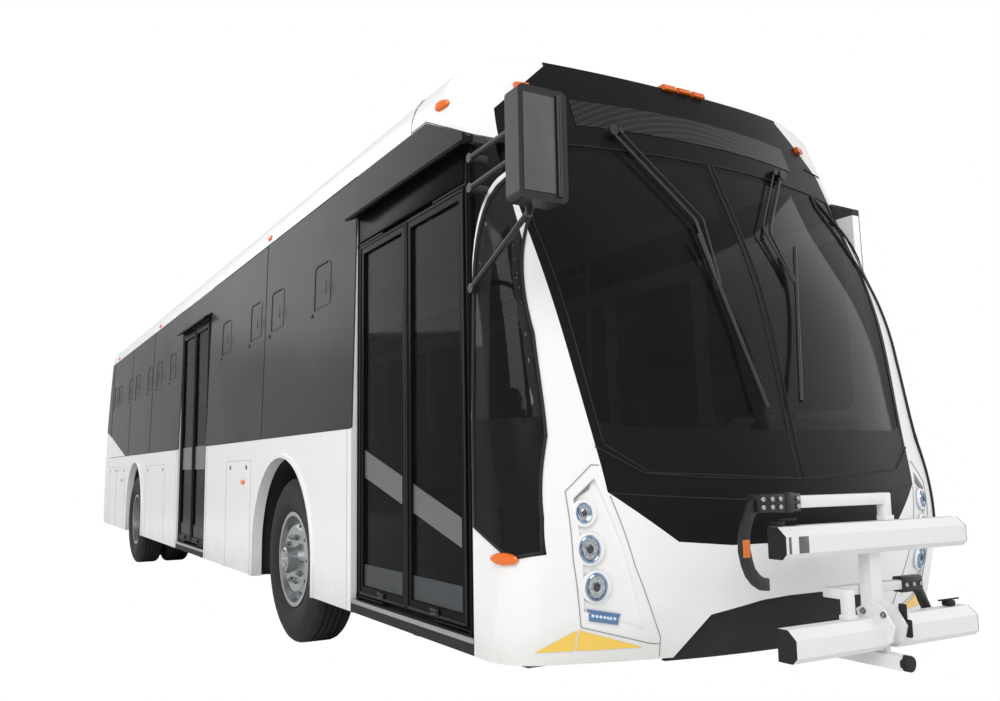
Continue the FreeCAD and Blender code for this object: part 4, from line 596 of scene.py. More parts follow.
def headlamp_units():
    lamp_skin = skin_of("headlamps")
    flanges, bezels, bowls, eyes = (bmesh.new() for _ in range(4))
    for x, z, seat, radius in LAMPS:
        for side in (-1, 1):
            place = seat_on("front", side * x, z, lamp_skin)
            lathe(flanges, [(-0.004, 0.0), (-0.004, seat + 0.003), (0.002, seat + 0.002),
                            (0.0035, seat - 0.003), (0.0035, 0.0)], place, 40)
            place = place @ Matrix.Translation((0, 0, 0.0032)) @ Matrix.Diagonal((0.8, 1, 1, 1))
            lathe(bezels, [(0.0, radius - 0.008), (0.0, radius + 0.003), (0.007, radius + 0.001),
                           (0.010, radius - 0.003), (0.008, radius - 0.007), (0.003, radius - 0.008),
                           (0.0, radius - 0.008)], place, 40)
            lathe(bowls, [(height, radius * share) for height, share in (
                (0.0, 0.0), (0.0, 0.86), (0.005, 0.84), (0.003, 0.7), (0.0045, 0.56), (0.003, 0.42),
                (0.005, 0.3), (0.005, 0.0))], place, 10)
            lathe(eyes, [(height, radius * share) for height, share in (
                (0.0045, 0.0), (0.0045, 0.34), (0.008, 0.32), (0.0115, 0.2), (0.013, 0.0))], place, 28)
    finished("headlamp_flanges", flanges, PAINT)
    finished("headlamp_bezels", bezels, BLUE_REFLECTION_RIM)
    finished("headlamp_reflectors", bowls, REFLECTOR_GLINTS, crease=8)
    finished("headlamp_projectors", eyes, PROJECTOR)


def led_bars():
    bar = [(0.973, 0.559), (0.845, 0.535), (0.859, 0.498), (0.971, 0.518)]
    bars = draped("led_bar_lenses", "front", both(bar), NOSE, LED_LENS, thick=0.006,
                  cell=0.03)
    form = bmesh.new()
    form.from_mesh(bars.data)
    bar_skin = BVHTree.FromBMesh(form)
    form.free()
    count, first, pitch, slope = 7, 0.871, 0.0148, 0.181
    optics = bmesh.new()
    for i in range(count):
        u = first + i * pitch
        for sign in (-1, 1):
            place = seat_on("front", sign * u, 0.517 + (u - 0.859) * slope, bar_skin, -0.0005)
            lathe(optics, [(0, 0), (0, 0.0062), (0.002, 0.0055), (0.0032, 0.003), (0.0036, 0)], place, 14)
    finished("led_bar_chips", optics, CHIP)


def corner_trims():
    inner = [(0.753, 0.4066), (1.004, 0.484), (1.004, 0.4085)]
    outer = [(1.012, 0.483), (1.152, 0.407), (1.012, 0.4085)]
    draped("yellow_reflectors", "front", both(inner) + both(outer), NOSE, YELLOW_FILM,
           cell=0.04)
    # painted shade: a thin grey sheet on each headlamp pocket's upper inner wall
    pocket_shade = [(1.0345, 0.966), (0.952, 1.037), (0.968, 0.997), (1.0345, 0.958)]
    draped("lamp_pocket_shade_sheets", "front", both(pocket_shade), NOSE, POCKET_SHADE_METAL, cell=0.03)
    lines = [[(1.063, 0.992), (0.954, 1.09), (0.9255, 1.0877)],
             [(1.063, 0.992), (1.0465, 0.743), (0.9965, 0.494), (0.716, 0.417), (0.681, 0.415)],
             [(0.8977, 0.973), (0.8133, 0.713), (0.681, 0.438), (0.678, 0.366)]]
    paths = [path for line in lines for path in both(line)]
    seams("front_panel_seams", "front", paths, NOSE, SHADE_LINE, 0.004)
    ovals = bmesh.new()
    cap_skin = skin_of("front_cap")
    for side in ("right", "left"):
        low = seat_on(side, -2.747, 0.745, NOSE) @ Matrix.Diagonal((0.068, 0.024, 1, 1))
        lathe(ovals, DOME, low, 28)
        high = seat_on(side, -2.224, 2.712, cap_skin) @ Matrix.Diagonal((0.05, 0.024, 1, 1))
        lathe(ovals, DOME, high, 24)
    finished("side_indicators", ovals, AMBER)


# Sides
# Y of each vent window's rear edge
VENTS = {"right": (-0.578, 0.313, 0.837, 1.702, 3.948, 4.717, 5.315, 6.223, 6.765, 7.733, 8.154),
         "left": (-1.2, -0.4, 0.5, 1.4, 2.6, 3.948, 4.717, 5.315, 6.223, 6.765, 7.733, 8.154)}
# Wheel arches: Y and radius of the round part, and the height of its middle
ARCHES = ((0.0, 0.618, 0.548), (WHEELBASE, 0.57, 0.635))
BAND_LOW, BAND_HIGH = 1.302, 2.684
SKIRT_LOW, FLAP_TOP, LOCK_Z = 0.36, 1.16, 1.11


def vents(side, edges):
    """Top-hung vent windows: a black strip on the rear and top edges, painted shade of the recessed reveal; a
    fine seal, a pane and two catches behind each edge.
    """
    # painted shade: a black strip on the rear and top edges only, where the reveal lies in shade
    reveal_shade_paths = [[(y, 2.035), (y, 2.268), (y - 0.01, 2.289), (y - 0.032, 2.3), (y - 0.2, 2.3)] for y in edges]
    seams(f"vent_reveal_shades_{side}", side, reveal_shade_paths, FLANK, SEAL, 0.013)
    seals = [[(y, 2.035), (y - 0.262, 2.038), (y - 0.27, 2.05), (y - 0.27, 2.28), (y - 0.25, 2.298),
              (y - 0.2, 2.3)] for y in edges]
    seams(f"vent_seals_{side}", side, seals, FLANK, SEAL, 0.003)
    panes = [quad(y - 0.262, y - 0.008, 2.044, 2.292) for y in edges]
    draped(f"vent_panes_{side}", side, panes, FLANK, VENT_GLASS, thick=0.0012, cell=4,
           corner=0.02)
    sign = 1 if side == "left" else -1
    near, far = sorted((sign * 1.2515, sign * 1.256))
    catches = bmesh.new()
    for y in edges:
        lathe(catches, [(0, 0), (0, 0.013), (0.006, 0.012), (0.008, 0.006), (0.008, 0)],
              seat_on(side, y + 0.045, 2.01, FLANK, 0.0003), 16)
        block(catches, at(near, y - 0.245, 2.1), at(far, y - 0.235, 2.18), 0.001)
    finished(f"vent_catches_{side}", catches, BLACK_COAT)


def window_band():
    for side, edges in VENTS.items():
        vents(side, edges)
        if side == "right":
            joints, stretches = (0.47, 4.99, 6.587), ((-1.215, 2.15), (3.352, 8.32))
        else:
            joints, stretches = (-1.3, 0.47, 2.2, 4.99, 6.587), ((-2.44, 8.32),)
        paths = [[(y, 1.31), (y, 2.68)] for y in joints]
        paths += [[(start, z), (end, z)] for start, end in stretches for z in (BAND_LOW, BAND_HIGH)]
        seams(f"window_band_seams_{side}", side, paths, FLANK, SEAL, 0.006)
        rise = [(6.83, 1.3055), (8.328, 1.3055), (8.328, 1.614)]
        draped(f"band_rise_{side}", side, [rise], FLANK, PAINT, thick=0.0015, cell=4)
        quarter = [(8.332, 1.615), (8.93, 1.725), (8.75, 2.5), (8.65, BAND_HIGH), (8.332, BAND_HIGH)]
        draped(f"rear_band_{side}", side, [quarter], FLANK, BAND, thick=0.004, cell=0.02)


def door_header():
    cover = [(-2.514, 2.452), (-1.224, 2.452), (-1.224, 2.672), (-2.07, 2.672), (-2.514, 2.478)]
    draped("door_header_cover", "right", [cover], FLANK, BLACK, thick=0.0015, cell=0.09)
    blocks("front_door_header_lining", [(at(-1.2346, -2.443, 2.2915), at(-1.2325, -1.297, 2.4385), 0.0005)],
           DOOR_FRAME)


def arch_lips():
    lips = bmesh.new()
    for side in (-1, 1):
        outer, inner = side * 1.262, side * 1.2502
        for arch_y, radius, centre in ARCHES:
            y = arch_y + AXLE_Y
            corners = [(outer, radius), (outer, radius + 0.026), (inner, radius + 0.03), (inner, radius)]
            face = bm_face(lips, [(x, y + reach, centre) for x, reach in corners])
            bmesh.ops.spin(lips, geom=[face, *face.edges, *face.verts], cent=(0, y, centre),
                           axis=(1, 0, 0), angle=math.pi, steps=36)
            for sign in (-1, 1):
                start = y + sign * radius
                end = start + sign * 0.026
                block(lips, (min(inner, outer), min(start, end), 0.358),
                      (max(inner, outer), max(start, end), centre), 0.0005)
    finished("wheel_arch_lips", lips, PAINT)


# Service flaps in the skirt: where each starts and ends
FLAPS = {"right": ((0.72, 1.42), (4.0, 5.15), (6.8, 7.55), (7.55, 8.3)),
         "left": ((-2.3, -1.0), (0.72, 1.9), (1.9, 3.1), (3.1, 4.3), (4.3, 5.2), (6.8, 7.55), (7.55, 8.3))}


def skirt_trims():
    for side, flaps in FLAPS.items():
        paths = [[(a, SKIRT_LOW), (a, FLAP_TOP), (b, FLAP_TOP), (b, SKIRT_LOW)] for a, b in flaps]
        if side == "right":
            paths += [[(y, 1.30), (y, SKIRT_LOW)] for y in (-1.16, 2.1, 3.42)]
        seams(f"skirt_panel_seams_{side}", side, paths, FLANK, SHADE_LINE, 0.003)
        locks = bmesh.new()
        for a, b in flaps:
            for y in (a + 0.12, b - 0.12):
                lathe(locks, [(0, 0), (0, 0.017), (0.002, 0.016), (0.002, 0.007), (-0.001, 0.006),
                              (-0.001, 0)], seat_on(side, y, LOCK_Z, FLANK, 0.0005), 18)
        finished(f"flap_locks_{side}", locks, BLACK_COAT)
    markers = bmesh.new()
    for side in ("right", "left"):
        for y, z in ((0.923, 1.004), (7.029, 0.988), (0.434, 2.729), (4.679, 2.723), (7.9, 2.72)):
            place = seat_on(side, y, z, FLANK) @ Matrix.Diagonal((0.045, 0.019, 1, 1))
            lathe(markers, DOME, place, 20)
    finished("side_markers", markers, AMBER)


# Doors
# Where each door's two leaves start and end, and the height of their tops
DOORS = {"front_door": ((-2.443, -1.873), (-1.867, -1.297), 2.264),
         "rear_door": ((2.21, 2.748), (2.754, 3.292), 2.402)}
DOORWAYS = ((-2.516, -1.224), (2.16, 3.342))
FRAME_WIDTH = 0.046
LEAF_X = -1.2335  # just inside a leaf's outer face, where its trims stand


def leaf_trims(body, stripe_low, stripe_high, start, stop, top):
    """What a door leaf carries: stripe, kick panel, seals on its four edges and the plate of its arm."""
    pane_skin = skin_of(body.replace("_leaf", "_glass"))
    a, b = start + FRAME_WIDTH, stop - FRAME_WIDTH
    stripe = [(y, stripe_low(y)) for y in (a, b)] + [(y, stripe_high(y)) for y in (b, a)]
    draped(f"{body}_stripe", "right", [stripe], pane_skin, GREY_PANEL, body, thick=0.003, cell=4)
    draped(f"{body}_kick_panel", "right", [quad(a, b, 0.499, 0.605)], pane_skin, DASH, body,
           thick=0.003, cell=4)
    seals = [(at(-1.2385, y, 0.46), at(LEAF_X, y + 0.010, top - 0.007), 0.0018)
             for y in (start + 0.002, stop - 0.012)]
    seals += [(at(-1.237, start + 0.014, z), at(LEAF_X, stop - 0.014, z + 0.012), 0.001)
              for z in (0.455, top - 0.014)]
    blocks(f"{body}_seals", seals, SEAL, body)
    hinge = bmesh.new()
    middle, face = (start + stop) / 2, -1.243
    block(hinge, at(face, middle - 0.035, 0.462), at(LEAF_X, middle + 0.035, 0.49), 0.002)
    for y in (middle - 0.02, middle + 0.02):
        lathe(hinge, [(0, 0), (0, 0.006), (0.004, 0.006), (0.005, 0.004), (0.005, 0)],
              turned(at(face, y, 0.476), -1, "Y"), 6)
    finished(f"{body}_arm_plate", hinge, BLACK_COAT, body)


def door_trims():
    stripes = {"front_door": (lambda y: 1.081 + 0.2753 * (y + 1.205), lambda y: 1.223 + 0.2926 * (y + 1.204)),
               "rear_door": (lambda y: 1.105, lambda y: 1.312)}
    for door, (*leaves, top) in DOORS.items():
        for end, leaf in zip(("front", "rear"), leaves):
            leaf_trims(f"{door}_{end}_leaf", *stripes[door], *leaf, top)


def door_steps():
    nosings = [(at(-1.2545, start, 0.401), at(-1.2345, stop, 0.4235), 0.004) for start, stop in DOORWAYS]
    blocks("step_nosings", nosings, ALLOY)
    ribs = [(at(-1.229 + i * 0.009, start, 0.4203), at(-1.225 + i * 0.009, stop, 0.4222), 0.0006)
            for start, stop in DOORWAYS for i in range(4)]
    blocks("step_treads", ribs, TREAD_RUBBER)


# Mirrors
def mirror_trims():
    blocks("mirror_glass", [(at(-1.352, -3.0068, 2.045), at(-1.178, -3.0042, 2.415), 0.001),
                            (at(1.264, -2.1617, 1.957), at(1.358, -2.159, 2.253), 0.001)],
           MIRROR)
    # painted highlight: a raised panel on the housing's front, lighter grey where light falls on that facet
    blocks("mirror_facet_highlight_panel", [(at(-1.35, -3.0985, 2.05), at(-1.215, -3.0945, 2.41), 0.0018)],
           MIRROR_FACET_HIGHLIGHT)
    tube = bmesh.new()
    lathe(tube, [(0, 0), (0, 0.009), (0.38, 0.009), (0.38, 0)], Matrix.Translation(at(-1.2, -3.1, 2.04)), 20)
    finished("mirror_back_tube", tube, BLACK_COAT)
    blocks("mirror_clamp", [(at(-1.285, -3.018, 2.2), at(-1.245, -2.974, 2.262), 0.004)], ALLOY)


# Wheels
NUT = [(0, 0), (0, 0.019), (0.017, 0.019), (0.0195, 0.0155), (0.0195, 0)]
STUD = [(0.0195, 0), (0.0195, 0.0085), (0.028, 0.0085), (0.03, 0.0065), (0.03, 0)]
STUD_LOW = [(0, 0), (0, 0.009), (0.006, 0.009), (0.008, 0.007), (0.008, 0)]
WHEEL_BOLT = ((NUT, 6), (STUD, 10))  # each outline with its number of sides
CAP_SCREW = ((STUD_LOW, 6),)


def wheel_axis(x, y, sign):
    """A matrix that stands Z out along the axle, away from the bus."""
    return turned((sign * x, y, HUB_Z), sign, "Y")


def tyre_profile():
    """Half-widths and radii of a ribbed city tyre: bead, sidewall rings, shoulder, four grooves."""
    side = [(0.109, 0.2865), (0.1115, 0.301), (0.122, 0.316), (0.134, 0.336), (0.141, 0.352), (0.1425, 0.36),
            (0.1455, 0.374), (0.148, 0.4), (0.1465, 0.425), (0.1475, 0.431), (0.1455, 0.437), (0.139, 0.458),
            (0.131, 0.478), (0.127, 0.482), (0.124, 0.49), (0.117, 0.504), (0.104, 0.514), (0.088, 0.519)]
    tread = []
    for centre in (0.057, 0.019, -0.019, -0.057):
        tread += [(centre + 0.007, 0.5198), (centre + 0.0045, 0.507), (centre - 0.0045, 0.507),
                  (centre - 0.007, 0.5198)]
    return side + tread + [(-width, radius) for width, radius in reversed(side)] + side[:1]


def ring_of(bm, forms, count, axis, reach, height, first=0.0):
    """Lathe forms repeated evenly round a wheel; the first stands that share of a step on."""
    for i in range(count):
        turn = Matrix.Rotation(math.tau * (i + first) / count, 4, "Z")
        for outline, steps in forms:
            lathe(bm, outline, axis @ turn @ Matrix.Translation((reach, 0, height)), steps)


def tyres_and_hubs():
    for side, sign in (("left", 1), ("right", -1)):
        front = wheel_axis(1.04, AXLE_Y, sign)
        outer, inner, disc = (wheel_axis(x, REAR_AXLE_Y, sign) for x in (1.093, 0.763, 0.928))
        tyre, twins, nuts, hubs, rear_nuts = (bmesh.new() for _ in range(5))
        lathe(tyre, tyre_profile(), front, 96)
        finished(f"front_tyre_tread_{side}", tyre, RUBBER_FRONT, f"front_wheel_{side}", 40,
                 (f"front_tyre_{side}",))
        lathe(twins, tyre_profile(), outer, 96)
        lathe(twins, tyre_profile(), inner, 96)
        finished(f"rear_tyre_treads_{side}", twins, RUBBER_REAR, f"rear_wheels_{side}", 40,
                 (f"rear_tyres_{side}",))
        ring_of(nuts, WHEEL_BOLT, 10, front, 0.142, 0.1125, 0.5)
        finished(f"front_wheel_nuts_{side}", nuts, NUT_STEEL, f"front_wheel_{side}", 25)
        lathe(hubs, [(0.1842, 0), (0.1842, 0.05), (0.1885, 0.048), (0.1885, 0.02), (0.1945, 0.018),
                     (0.1945, 0)], front, 32)
        ring_of(hubs, CAP_SCREW, 6, front, 0.057, 0.1842)
        finished(f"front_hub_cap_{side}", hubs, ALLOY, f"front_wheel_{side}", 25)
        ring_of(rear_nuts, WHEEL_BOLT, 10, disc, 0.16, 0.0205, 0.5)
        ring_of(rear_nuts, CAP_SCREW, 8, outer, 0.085, 0.0602)
        finished(f"rear_wheel_nuts_{side}", rear_nuts, NUT_STEEL, f"rear_wheels_{side}", 25)


# Rack
def cut_plate(bm, outline, y_from, y_to, round_off):
    """A plate across the bus from an outline of X and Z pairs."""
    form = bmesh.new()
    for vert in raised(form, [bm_face(form, [(x, y_from, z) for x, z in outline])]):
        vert.co.y = y_to
    bmesh.ops.bevel(form, geom=form.edges[:], offset=round_off, segments=2, profile=0.5, affect="EDGES",
                    material=-1)
    placed(bm, form, Matrix())


RACK_Y = AXLE_Y - 3.39
ARM_TOP, ARM_LOW = 0.8643, 0.5173  # where the two hook arms stand on their trays
ARM_Y, LOW_ARM_Y, BACK_ARM_Y = RACK_Y + 0.008, RACK_Y - 0.02, RACK_Y + 0.061


def rack_hook_arms():
    top, low_top, y, low_y, back_y = ARM_TOP, ARM_LOW, ARM_Y, LOW_ARM_Y, BACK_ARM_Y
    blocks("hook_arm_tubes", (
        ((0.08, y, top), (0.124, y + 0.036, top + 0.106), 0.005),
        ((-0.4, y + 0.0004, top + 0.062), (0.1, y + 0.0356, top + 0.1056), 0.005),
        ((0.074, y - 0.004, top), (0.13, y + 0.034, top + 0.02), 0.003),
        ((-0.19, low_y + 0.004, low_top), (-0.152, low_y + 0.042, low_top + 0.11), 0.005),
        ((-0.196, low_y + 0.001, low_top), (-0.146, low_y + 0.045, low_top + 0.018), 0.003),
        ((-0.1896, low_y + 0.0044, low_top + 0.072), (-0.1524, back_y + 0.0356, low_top + 0.1096), 0.004),
        ((-0.1892, back_y, low_top + 0.0724), (0.24, back_y + 0.0352, low_top + 0.1092), 0.005),
    ), RACK_WHITE, "rack", stands_for=("rack_hooks",))


def ratchet_heads():
    """The black heads of both hook arms, each with its hook and screws, and a bare label on the upper hook.
    """
    y, z, back_y, low_z = ARM_Y, ARM_TOP + 0.062, BACK_ARM_Y, ARM_LOW + 0.072
    heads = bmesh.new()
    block(heads, (-0.6, y - 0.01, z - 0.01), (-0.39, y + 0.046, z + 0.054), 0.006)
    block(heads, (-0.47, y - 0.014, z - 0.014), (-0.43, y + 0.048, z + 0.058), 0.005)
    hook = [(-0.59, 0.05), (-0.622, 0.03), (-0.64, -0.01), (-0.662, -0.05), (-0.672, -0.09), (-0.676, -0.14),
            (-0.664, -0.19), (-0.646, -0.228), (-0.62, -0.256), (-0.585, -0.276), (-0.548, -0.28),
            (-0.548, -0.236), (-0.574, -0.233), (-0.594, -0.22), (-0.614, -0.198), (-0.624, -0.17),
            (-0.633, -0.13), (-0.63, -0.09), (-0.62, -0.054), (-0.606, -0.026), (-0.59, -0.008)]
    cut_plate(heads, [(x, z + dz) for x, dz in hook], y + 0.008, y + 0.030, 0.004)
    block(heads, (0.225, back_y - 0.004, low_z - 0.012), (0.355, back_y + 0.042, low_z + 0.048), 0.006)
    hook = [(0.33, 0.118), (0.372, 0.06), (0.398, 0.016), (0.42, -0.02), (0.44, -0.044), (0.452, -0.07),
            (0.412, -0.078), (0.392, -0.046), (0.376, -0.02), (0.356, 0.014), (0.34, 0.044), (0.31, 0.066)]
    cut_plate(heads, [(x, ARM_LOW + dz) for x, dz in hook], back_y + 0.006, back_y + 0.028, 0.004)
    finished("ratchet_heads", heads, BLACK_COAT, "rack")

    spots = [(x, y - 0.0102, z + dz) for x in (-0.585, -0.54, -0.5, -0.41) for dz in (0.008, 0.036)]
    spots += [(x, back_y - 0.0042, low_z + 0.018) for x in (0.245, 0.29, 0.335)]
    screws = bmesh.new()
    for spot in spots:
        lathe(screws, STUD_LOW, turned(spot, 1, "X"), 12)
    finished("ratchet_screws", screws, ALLOY, "rack", 25)
    blocks("hook_sticker_blank", [((-0.671, y + 0.0066, z - 0.16), (-0.637, y + 0.0078, z - 0.1), 0.0003)],
           AMBER_FILM, "rack")


def rack_fittings():
    bolts = bmesh.new()
    for sign in (-1, 1):
        for y, z, big in ((0, 0, 1.5), (-0.045, 0.05, 1.0), (0.04, 0.055, 1.0), (0.045, -0.02, 1.0),
                          (-0.03, -0.045, 1.0)):
            place = turned((sign * 0.0402, RACK_Y + y, 0.48 + z), sign, "Y")
            lathe(bolts, [(0, 0), (0, 0.012), (0.0015, 0.012), (0.0015, 0.0085), (0.009, 0.0085),
                          (0.0105, 0.006), (0.0105, 0)], place @ Matrix.Diagonal((big, big, 1, 1)), 18)
    finished("sector_bolts", bolts, NUT_STEEL, "rack", 25)
    knob = bmesh.new()
    lathe(knob, [(-0.0005, 0), (-0.0005, 0.0282), (0.001, 0.029), (0.003, 0.029), (0.008, 0.029),
                 (0.0095, 0.0283), (0.011, 0.029), (0.0145, 0.029), (0.0155, 0.0283), (0.019, 0.0288),
                 (0.0254, 0.0288), (0.0254, 0)], turned((0, AXLE_Y - 3.505, 0.363), -1, "X"), 36)
    finished("hitch_knob_grip", knob, SEAL, crease=25)
    blocks("release_lever", (
        ((0.0445, RACK_Y - 0.075, 0.5), (0.058, RACK_Y - 0.045, 0.565), 0.005),
        ((0.0445, RACK_Y - 0.092, 0.445), (0.060, RACK_Y - 0.066, 0.51), 0.006),
    ), SEAL, "rack")
    bands = []
    for x, wide in ((-0.452, 0.05), (-0.502, 0.012)):
        bands += [((x, RACK_Y - 0.0362, 0.773), (x + wide, RACK_Y - 0.0352, 0.831), 0.0004),
                  ((x, RACK_Y + 0.001, 0.8642), (x + wide, RACK_Y + 0.044, 0.8652), 0.0004)]
    blocks("tray_bands", bands, GREY_PANEL, "rack")
    blocks("wheel_strap_buckles", (
        ((-0.508, RACK_Y + 0.004, 0.8655), (-0.47, RACK_Y + 0.04, 0.883), 0.004),
        ((-0.49, RACK_Y + 0.012, 0.883), (-0.4, RACK_Y + 0.03, 0.892), 0.003),
        ((0.41, RACK_Y - 0.012, 0.5185), (0.45, RACK_Y + 0.024, 0.541), 0.005),
        ((0.36, RACK_Y - 0.002, 0.541), (0.49, RACK_Y + 0.006, 0.547), 0.002),
    ), SEAL, "rack")
    caps = bmesh.new()
    for sign in (-1, 1):
        for y, z in ((RACK_Y, 0.752), (RACK_Y - 0.02, 0.405)):
            outline = [(y + 0.045, z), (y - 0.015, z), (y - 0.035, z + 0.02), (y - 0.035, z + 0.08),
                       (y, z + 0.112), (y + 0.045, z + 0.112)]
            for vert in raised(caps, [bm_face(caps, [(sign * 0.5152, a, b) for a, b in outline])]):
                vert.co.x += sign * 0.003
    finished("tray_end_caps", caps, SEAL, "rack")


# Inside
# Of a pad, as shares of its size: height of its edge, depth and width of its groove, pull of its sides
PAD_EDGE, GROOVE_DEPTH, GROOVE_WIDTH, DRAWN_IN = 0.45, 0.16, 0.22, 0.035


def pad(bm, width, length, thick, place):
    """A crowned upholstered pad on its shell, its sides drawn in by its piping."""
    form = bmesh.new()
    bmesh.ops.create_cube(form, size=1)
    bmesh.ops.subdivide_edges(form, edges=form.edges[:], cuts=5, use_grid_fill=True)
    for vert in form.verts:
        u, v = vert.co.x * 2, vert.co.y * 2
        if vert.co.z > 0:
            swell = (1 - u ** 4) * (1 - v ** 4)
            groove = GROOVE_DEPTH * math.exp(-(u / GROOVE_WIDTH) ** 2)
            vert.co.z = 0.5 * (PAD_EDGE + (1 - PAD_EDGE) * swell) - groove * swell
        pull = 1 - DRAWN_IN * (1 - abs(u)) if abs(v) > 0.99 else 1
        vert.co = Vector((vert.co.x * width, vert.co.y * length * pull, (vert.co.z + 0.5) * thick))
    bmesh.ops.smooth_vert(form, verts=form.verts[:], factor=0.5, use_axis_x=True, use_axis_y=True,
                          use_axis_z=True)
    placed(bm, form, place)


def pad_place(x, start, end):
    """A matrix on a shell's face between two points of Y and Z, Z standing out of the face."""
    run = Vector((0, end[0] - start[0], end[1] - start[1]))
    along = run.normalized()
    out = Vector((1, 0, 0)).cross(along)
    turn = Matrix((Vector((1, 0, 0)), along, out)).transposed().to_4x4()
    middle = Vector(at(x, (start[0] + end[0]) / 2, (start[1] + end[1]) / 2))
    return Matrix.Translation(middle + out * 0.0005) @ turn


# Double seats: lowest X, Y of the front edge, height of the floor
SEATS = [(0.29, 0.76, 0.42), (0.29, 1.56, 0.42), (-1.15, 0.76, 0.42)]
SEATS += [(x, y, 0.86) for x in (0.29, -1.15) for y in (3.7, 4.5, 7.0, 7.7)]


def seat_pads():
    pads = bmesh.new()
    for x, y, z in SEATS:
        for start in (x, x + 0.44):
            centre = start + 0.21
            pad(pads, 0.38, 0.36, 0.035, pad_place(centre, (y + 0.02, z + 0.399), (y + 0.375, z + 0.3817)))
            pad(pads, 0.37, 0.5, 0.04, pad_place(centre, (y + 0.432, z + 0.5), (y + 0.517, z + 0.95)))
    piece = finished("passenger_seat_pads", pads, MOQUETTE, crease=60)
    pads = bmesh.new()
    z = 0.42
    pad(pads, 0.44, 0.4, 0.018, pad_place(0.58, (-2.06, z + 0.5995), (-1.66, z + 0.5905)))
    pad(pads, 0.44, 0.59, 0.016, pad_place(0.58, (-1.632, z + 0.66), (-1.566, z + 1.25)))
    piece = finished("driver_seat_pads", pads, MOQUETTE, crease=60)


def dash_fittings():
    blocks("instrument_binnacle", [(at(0.3, -2.72, 1.19), at(0.86, -2.63, 1.3), 0.02),
                                   (at(-0.2, -2.64, 0.98), at(0.25, -2.597, 1.08), 0.01)],
           DASH)
    dials = bmesh.new()
    for x, radius in ((0.44, 0.04), (0.54, 0.03), (0.62, 0.03), (0.72, 0.04)):
        lathe(dials, [(0, 0), (0, radius), (0.003, radius), (0.003, radius - 0.004), (0.001, radius - 0.006),
                      (0.001, 0)], turned(at(x, -2.6298, 1.245), -1, "X"), 24)
    finished("instrument_dials", dials, PROJECTOR)


# Tail
def tail_trims():
    seams("rear_window_gasket", "rear", [closed(quad(-0.798, 0.798, 1.802, 2.418))], TAIL, SEAL, 0.016)
    seams("rear_panel_seams", "rear", [[(-1.1, 0.5), (-0.9, 0.5), (0.9, 0.5), (1.1, 0.5)]], TAIL,
          SHADE_LINE, 0.0035)
    rings = bmesh.new()
    lamp_skin = skin_of("body_lamps")
    for sign in (-1, 1):
        for z in (1.25, 1.10, 0.95):
            lathe(rings, closed([(-0.02, 0.0582), (-0.02, 0.064), (0.002, 0.063), (0.004, 0.06),
                                 (0.002, 0.057), (-0.001, 0.057)]),
                  seat_on("rear", sign * 1.08, z, lamp_skin), 36)
    finished("tail_lamp_rings", rings, CHROME)
    latches = bmesh.new()
    for x in (-0.7, 0.7):
        lathe(latches, [(0, 0), (0, 0.022), (0.003, 0.021), (0.004, 0.008), (0.001, 0.006), (0.001, 0)],
              seat_on("rear", x, 0.63, TAIL, 0.0005), 24)
    finished("hatch_latches", latches, BLACK_COAT, "engine_hatch")
    # the red reflectors glow faintly: painted light, with no lamp behind them
    draped("rear_reflectors", "rear", both(quad(0.92, 1.06, 0.42, 0.47)), TAIL, RED_GLOWING_LENS,
           thick=0.004, cell=0.05)


def roof_trims():
    roof = skin_of("roof_shell", "front_cap", "rear_cap")
    hatches, joints = (0.6, 5.4), (-1.91, 8.33)
    lids = [quad(-0.33, 0.33, y, y + 0.66) for y in hatches]
    draped("roof_hatch_lids", "top", lids, roof, PAINT, thick=0.0006, cell=0.11,
           corner=0.05)
    paths = [closed(quad(-0.34, 0.34, y - 0.01, y + 0.67)) for y in hatches]
    paths += [[(-1.16, y), (1.16, y)] for y in joints]
    seams("roof_seams", "top", paths, roof, SEAL, 0.005, sink=0.0018)
    paths = [[(-1.91, 2.69), (-1.91, 2.86)], [(-2.515, 2.474), (-2.07, 2.69), (-1.915, 2.69)]]
    seams("cap_seams", "right left", paths, FLANK, SEAL, 0.005)


screen_trims()
destination_matrix()
headlamp_units()
led_bars()
corner_trims()
window_band()
door_header()
arch_lips()
skirt_trims()
door_trims()
door_steps()
mirror_trims()
tyres_and_hubs()
rack_hook_arms()
ratchet_heads()
rack_fittings()
seat_pads()
dash_fittings()
tail_trims()
roof_trims()


# Camera, floor and light
# The photograph's camera, its angles in radians and its lens for a sensor 36 mm wide
YAW, PITCH, ROLL = 0.5071, 0.1244, -0.0116
CAMERA_AT = (-2.9864, -8.3916, 1.0783)
FOCAL_MM, SHIFT_X, SHIFT_Y = 31.761, 0.0336, 0.0084
# Studio lights: name, place, size in metres, power in watts
LIGHTS = (("key", (-9, -12, 9), 7, 900), ("fill", (9, -9, 5), 8, 260), ("rear", (-7, 10, 8), 8, 400))
LIT_POINT = Vector((0, -1, 1.2))
WORLD_LIGHT = 0.62


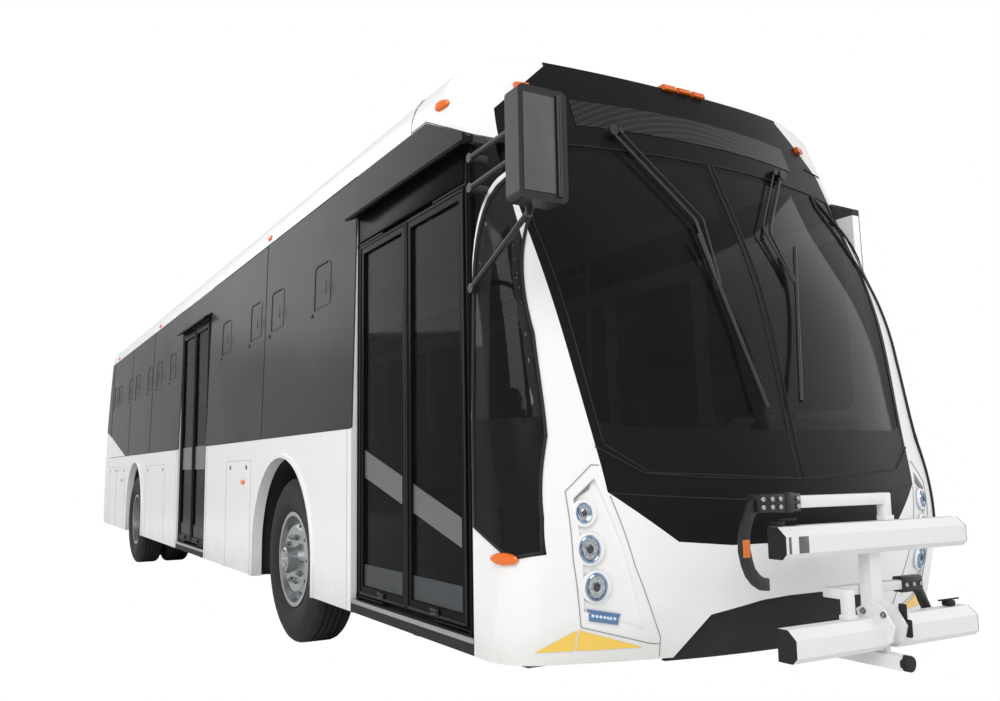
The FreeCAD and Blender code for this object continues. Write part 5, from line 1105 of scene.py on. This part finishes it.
def photo_camera():
    forward = Vector((math.sin(YAW) * math.cos(PITCH), math.cos(YAW) * math.cos(PITCH), math.sin(PITCH)))
    level = Vector((math.cos(YAW), -math.sin(YAW), 0))
    rise = level.cross(forward)
    right = math.cos(ROLL) * level + math.sin(ROLL) * rise
    up = -math.sin(ROLL) * level + math.cos(ROLL) * rise
    data = bpy.data.cameras.new("camera")
    data.sensor_width = 36
    data.lens = FOCAL_MM
    data.shift_x = SHIFT_X
    data.shift_y = SHIFT_Y
    data.clip_end = 200
    scene.camera = linked("camera", data)
    turn = Matrix((right, up, -forward)).transposed().to_4x4()
    scene.camera.matrix_world = Matrix.Translation(CAMERA_AT) @ turn


def seen(tree):
    """1 for what the camera sees, also through glass, and 0 for the light on other things."""
    path = add(tree, "ShaderNodeLightPath")
    return maths(tree, "MAXIMUM", (path, "Is Camera Ray"), (path, "Is Transmission Ray"))


def paper_floor():
    """A floor that looks plain white to the camera and throws light back as paper does."""
    bm = bmesh.new()
    bmesh.ops.create_grid(bm, x_segments=2, y_segments=2, size=60)
    mesh = bpy.data.meshes.new("studio_floor")
    bm.to_mesh(mesh)
    bm.free()
    material, tree, shader = surface("floor_paper_white", Base_Color=linear("#f2f2f2"), Roughness=1.0)
    glow = add(tree, "ShaderNodeEmission", Color=linear("#ffffff"), Strength=1.0)
    mix = add(tree, "ShaderNodeMixShader", i0=(seen(tree), 0), i1=(shader, 0), i2=(glow, 0))
    tree.links.new(mix.outputs[0], tree.nodes["Material Output"].inputs["Surface"])
    mesh.materials.append(material)
    linked("studio_floor", mesh)


def white_world():
    world = bpy.data.worlds.new("studio")
    scene.world = world
    world.use_nodes = True
    tree = world.node_tree
    back = tree.nodes["Background"]
    back.inputs["Color"].default_value = linear("#ffffff")
    back.inputs["Strength"].default_value = WORLD_LIGHT
    white = add(tree, "ShaderNodeBackground", Color=linear("#ffffff"), Strength=1.0)
    mix = add(tree, "ShaderNodeMixShader", i0=(seen(tree), 0), i1=(back, 0), i2=(white, 0))
    tree.links.new(mix.outputs[0], tree.nodes["World Output"].inputs["Surface"])


def studio_lights():
    for name, spot, size, power in LIGHTS:
        light = bpy.data.lights.new(name, "AREA")
        light.size = size
        light.energy = power
        aim = (Vector(spot) - LIT_POINT).to_track_quat("Z", "Y")
        linked(name, light).matrix_world = Matrix.Translation(spot) @ aim.to_matrix().to_4x4()


photo_camera()
paper_floor()
white_world()
studio_lights()
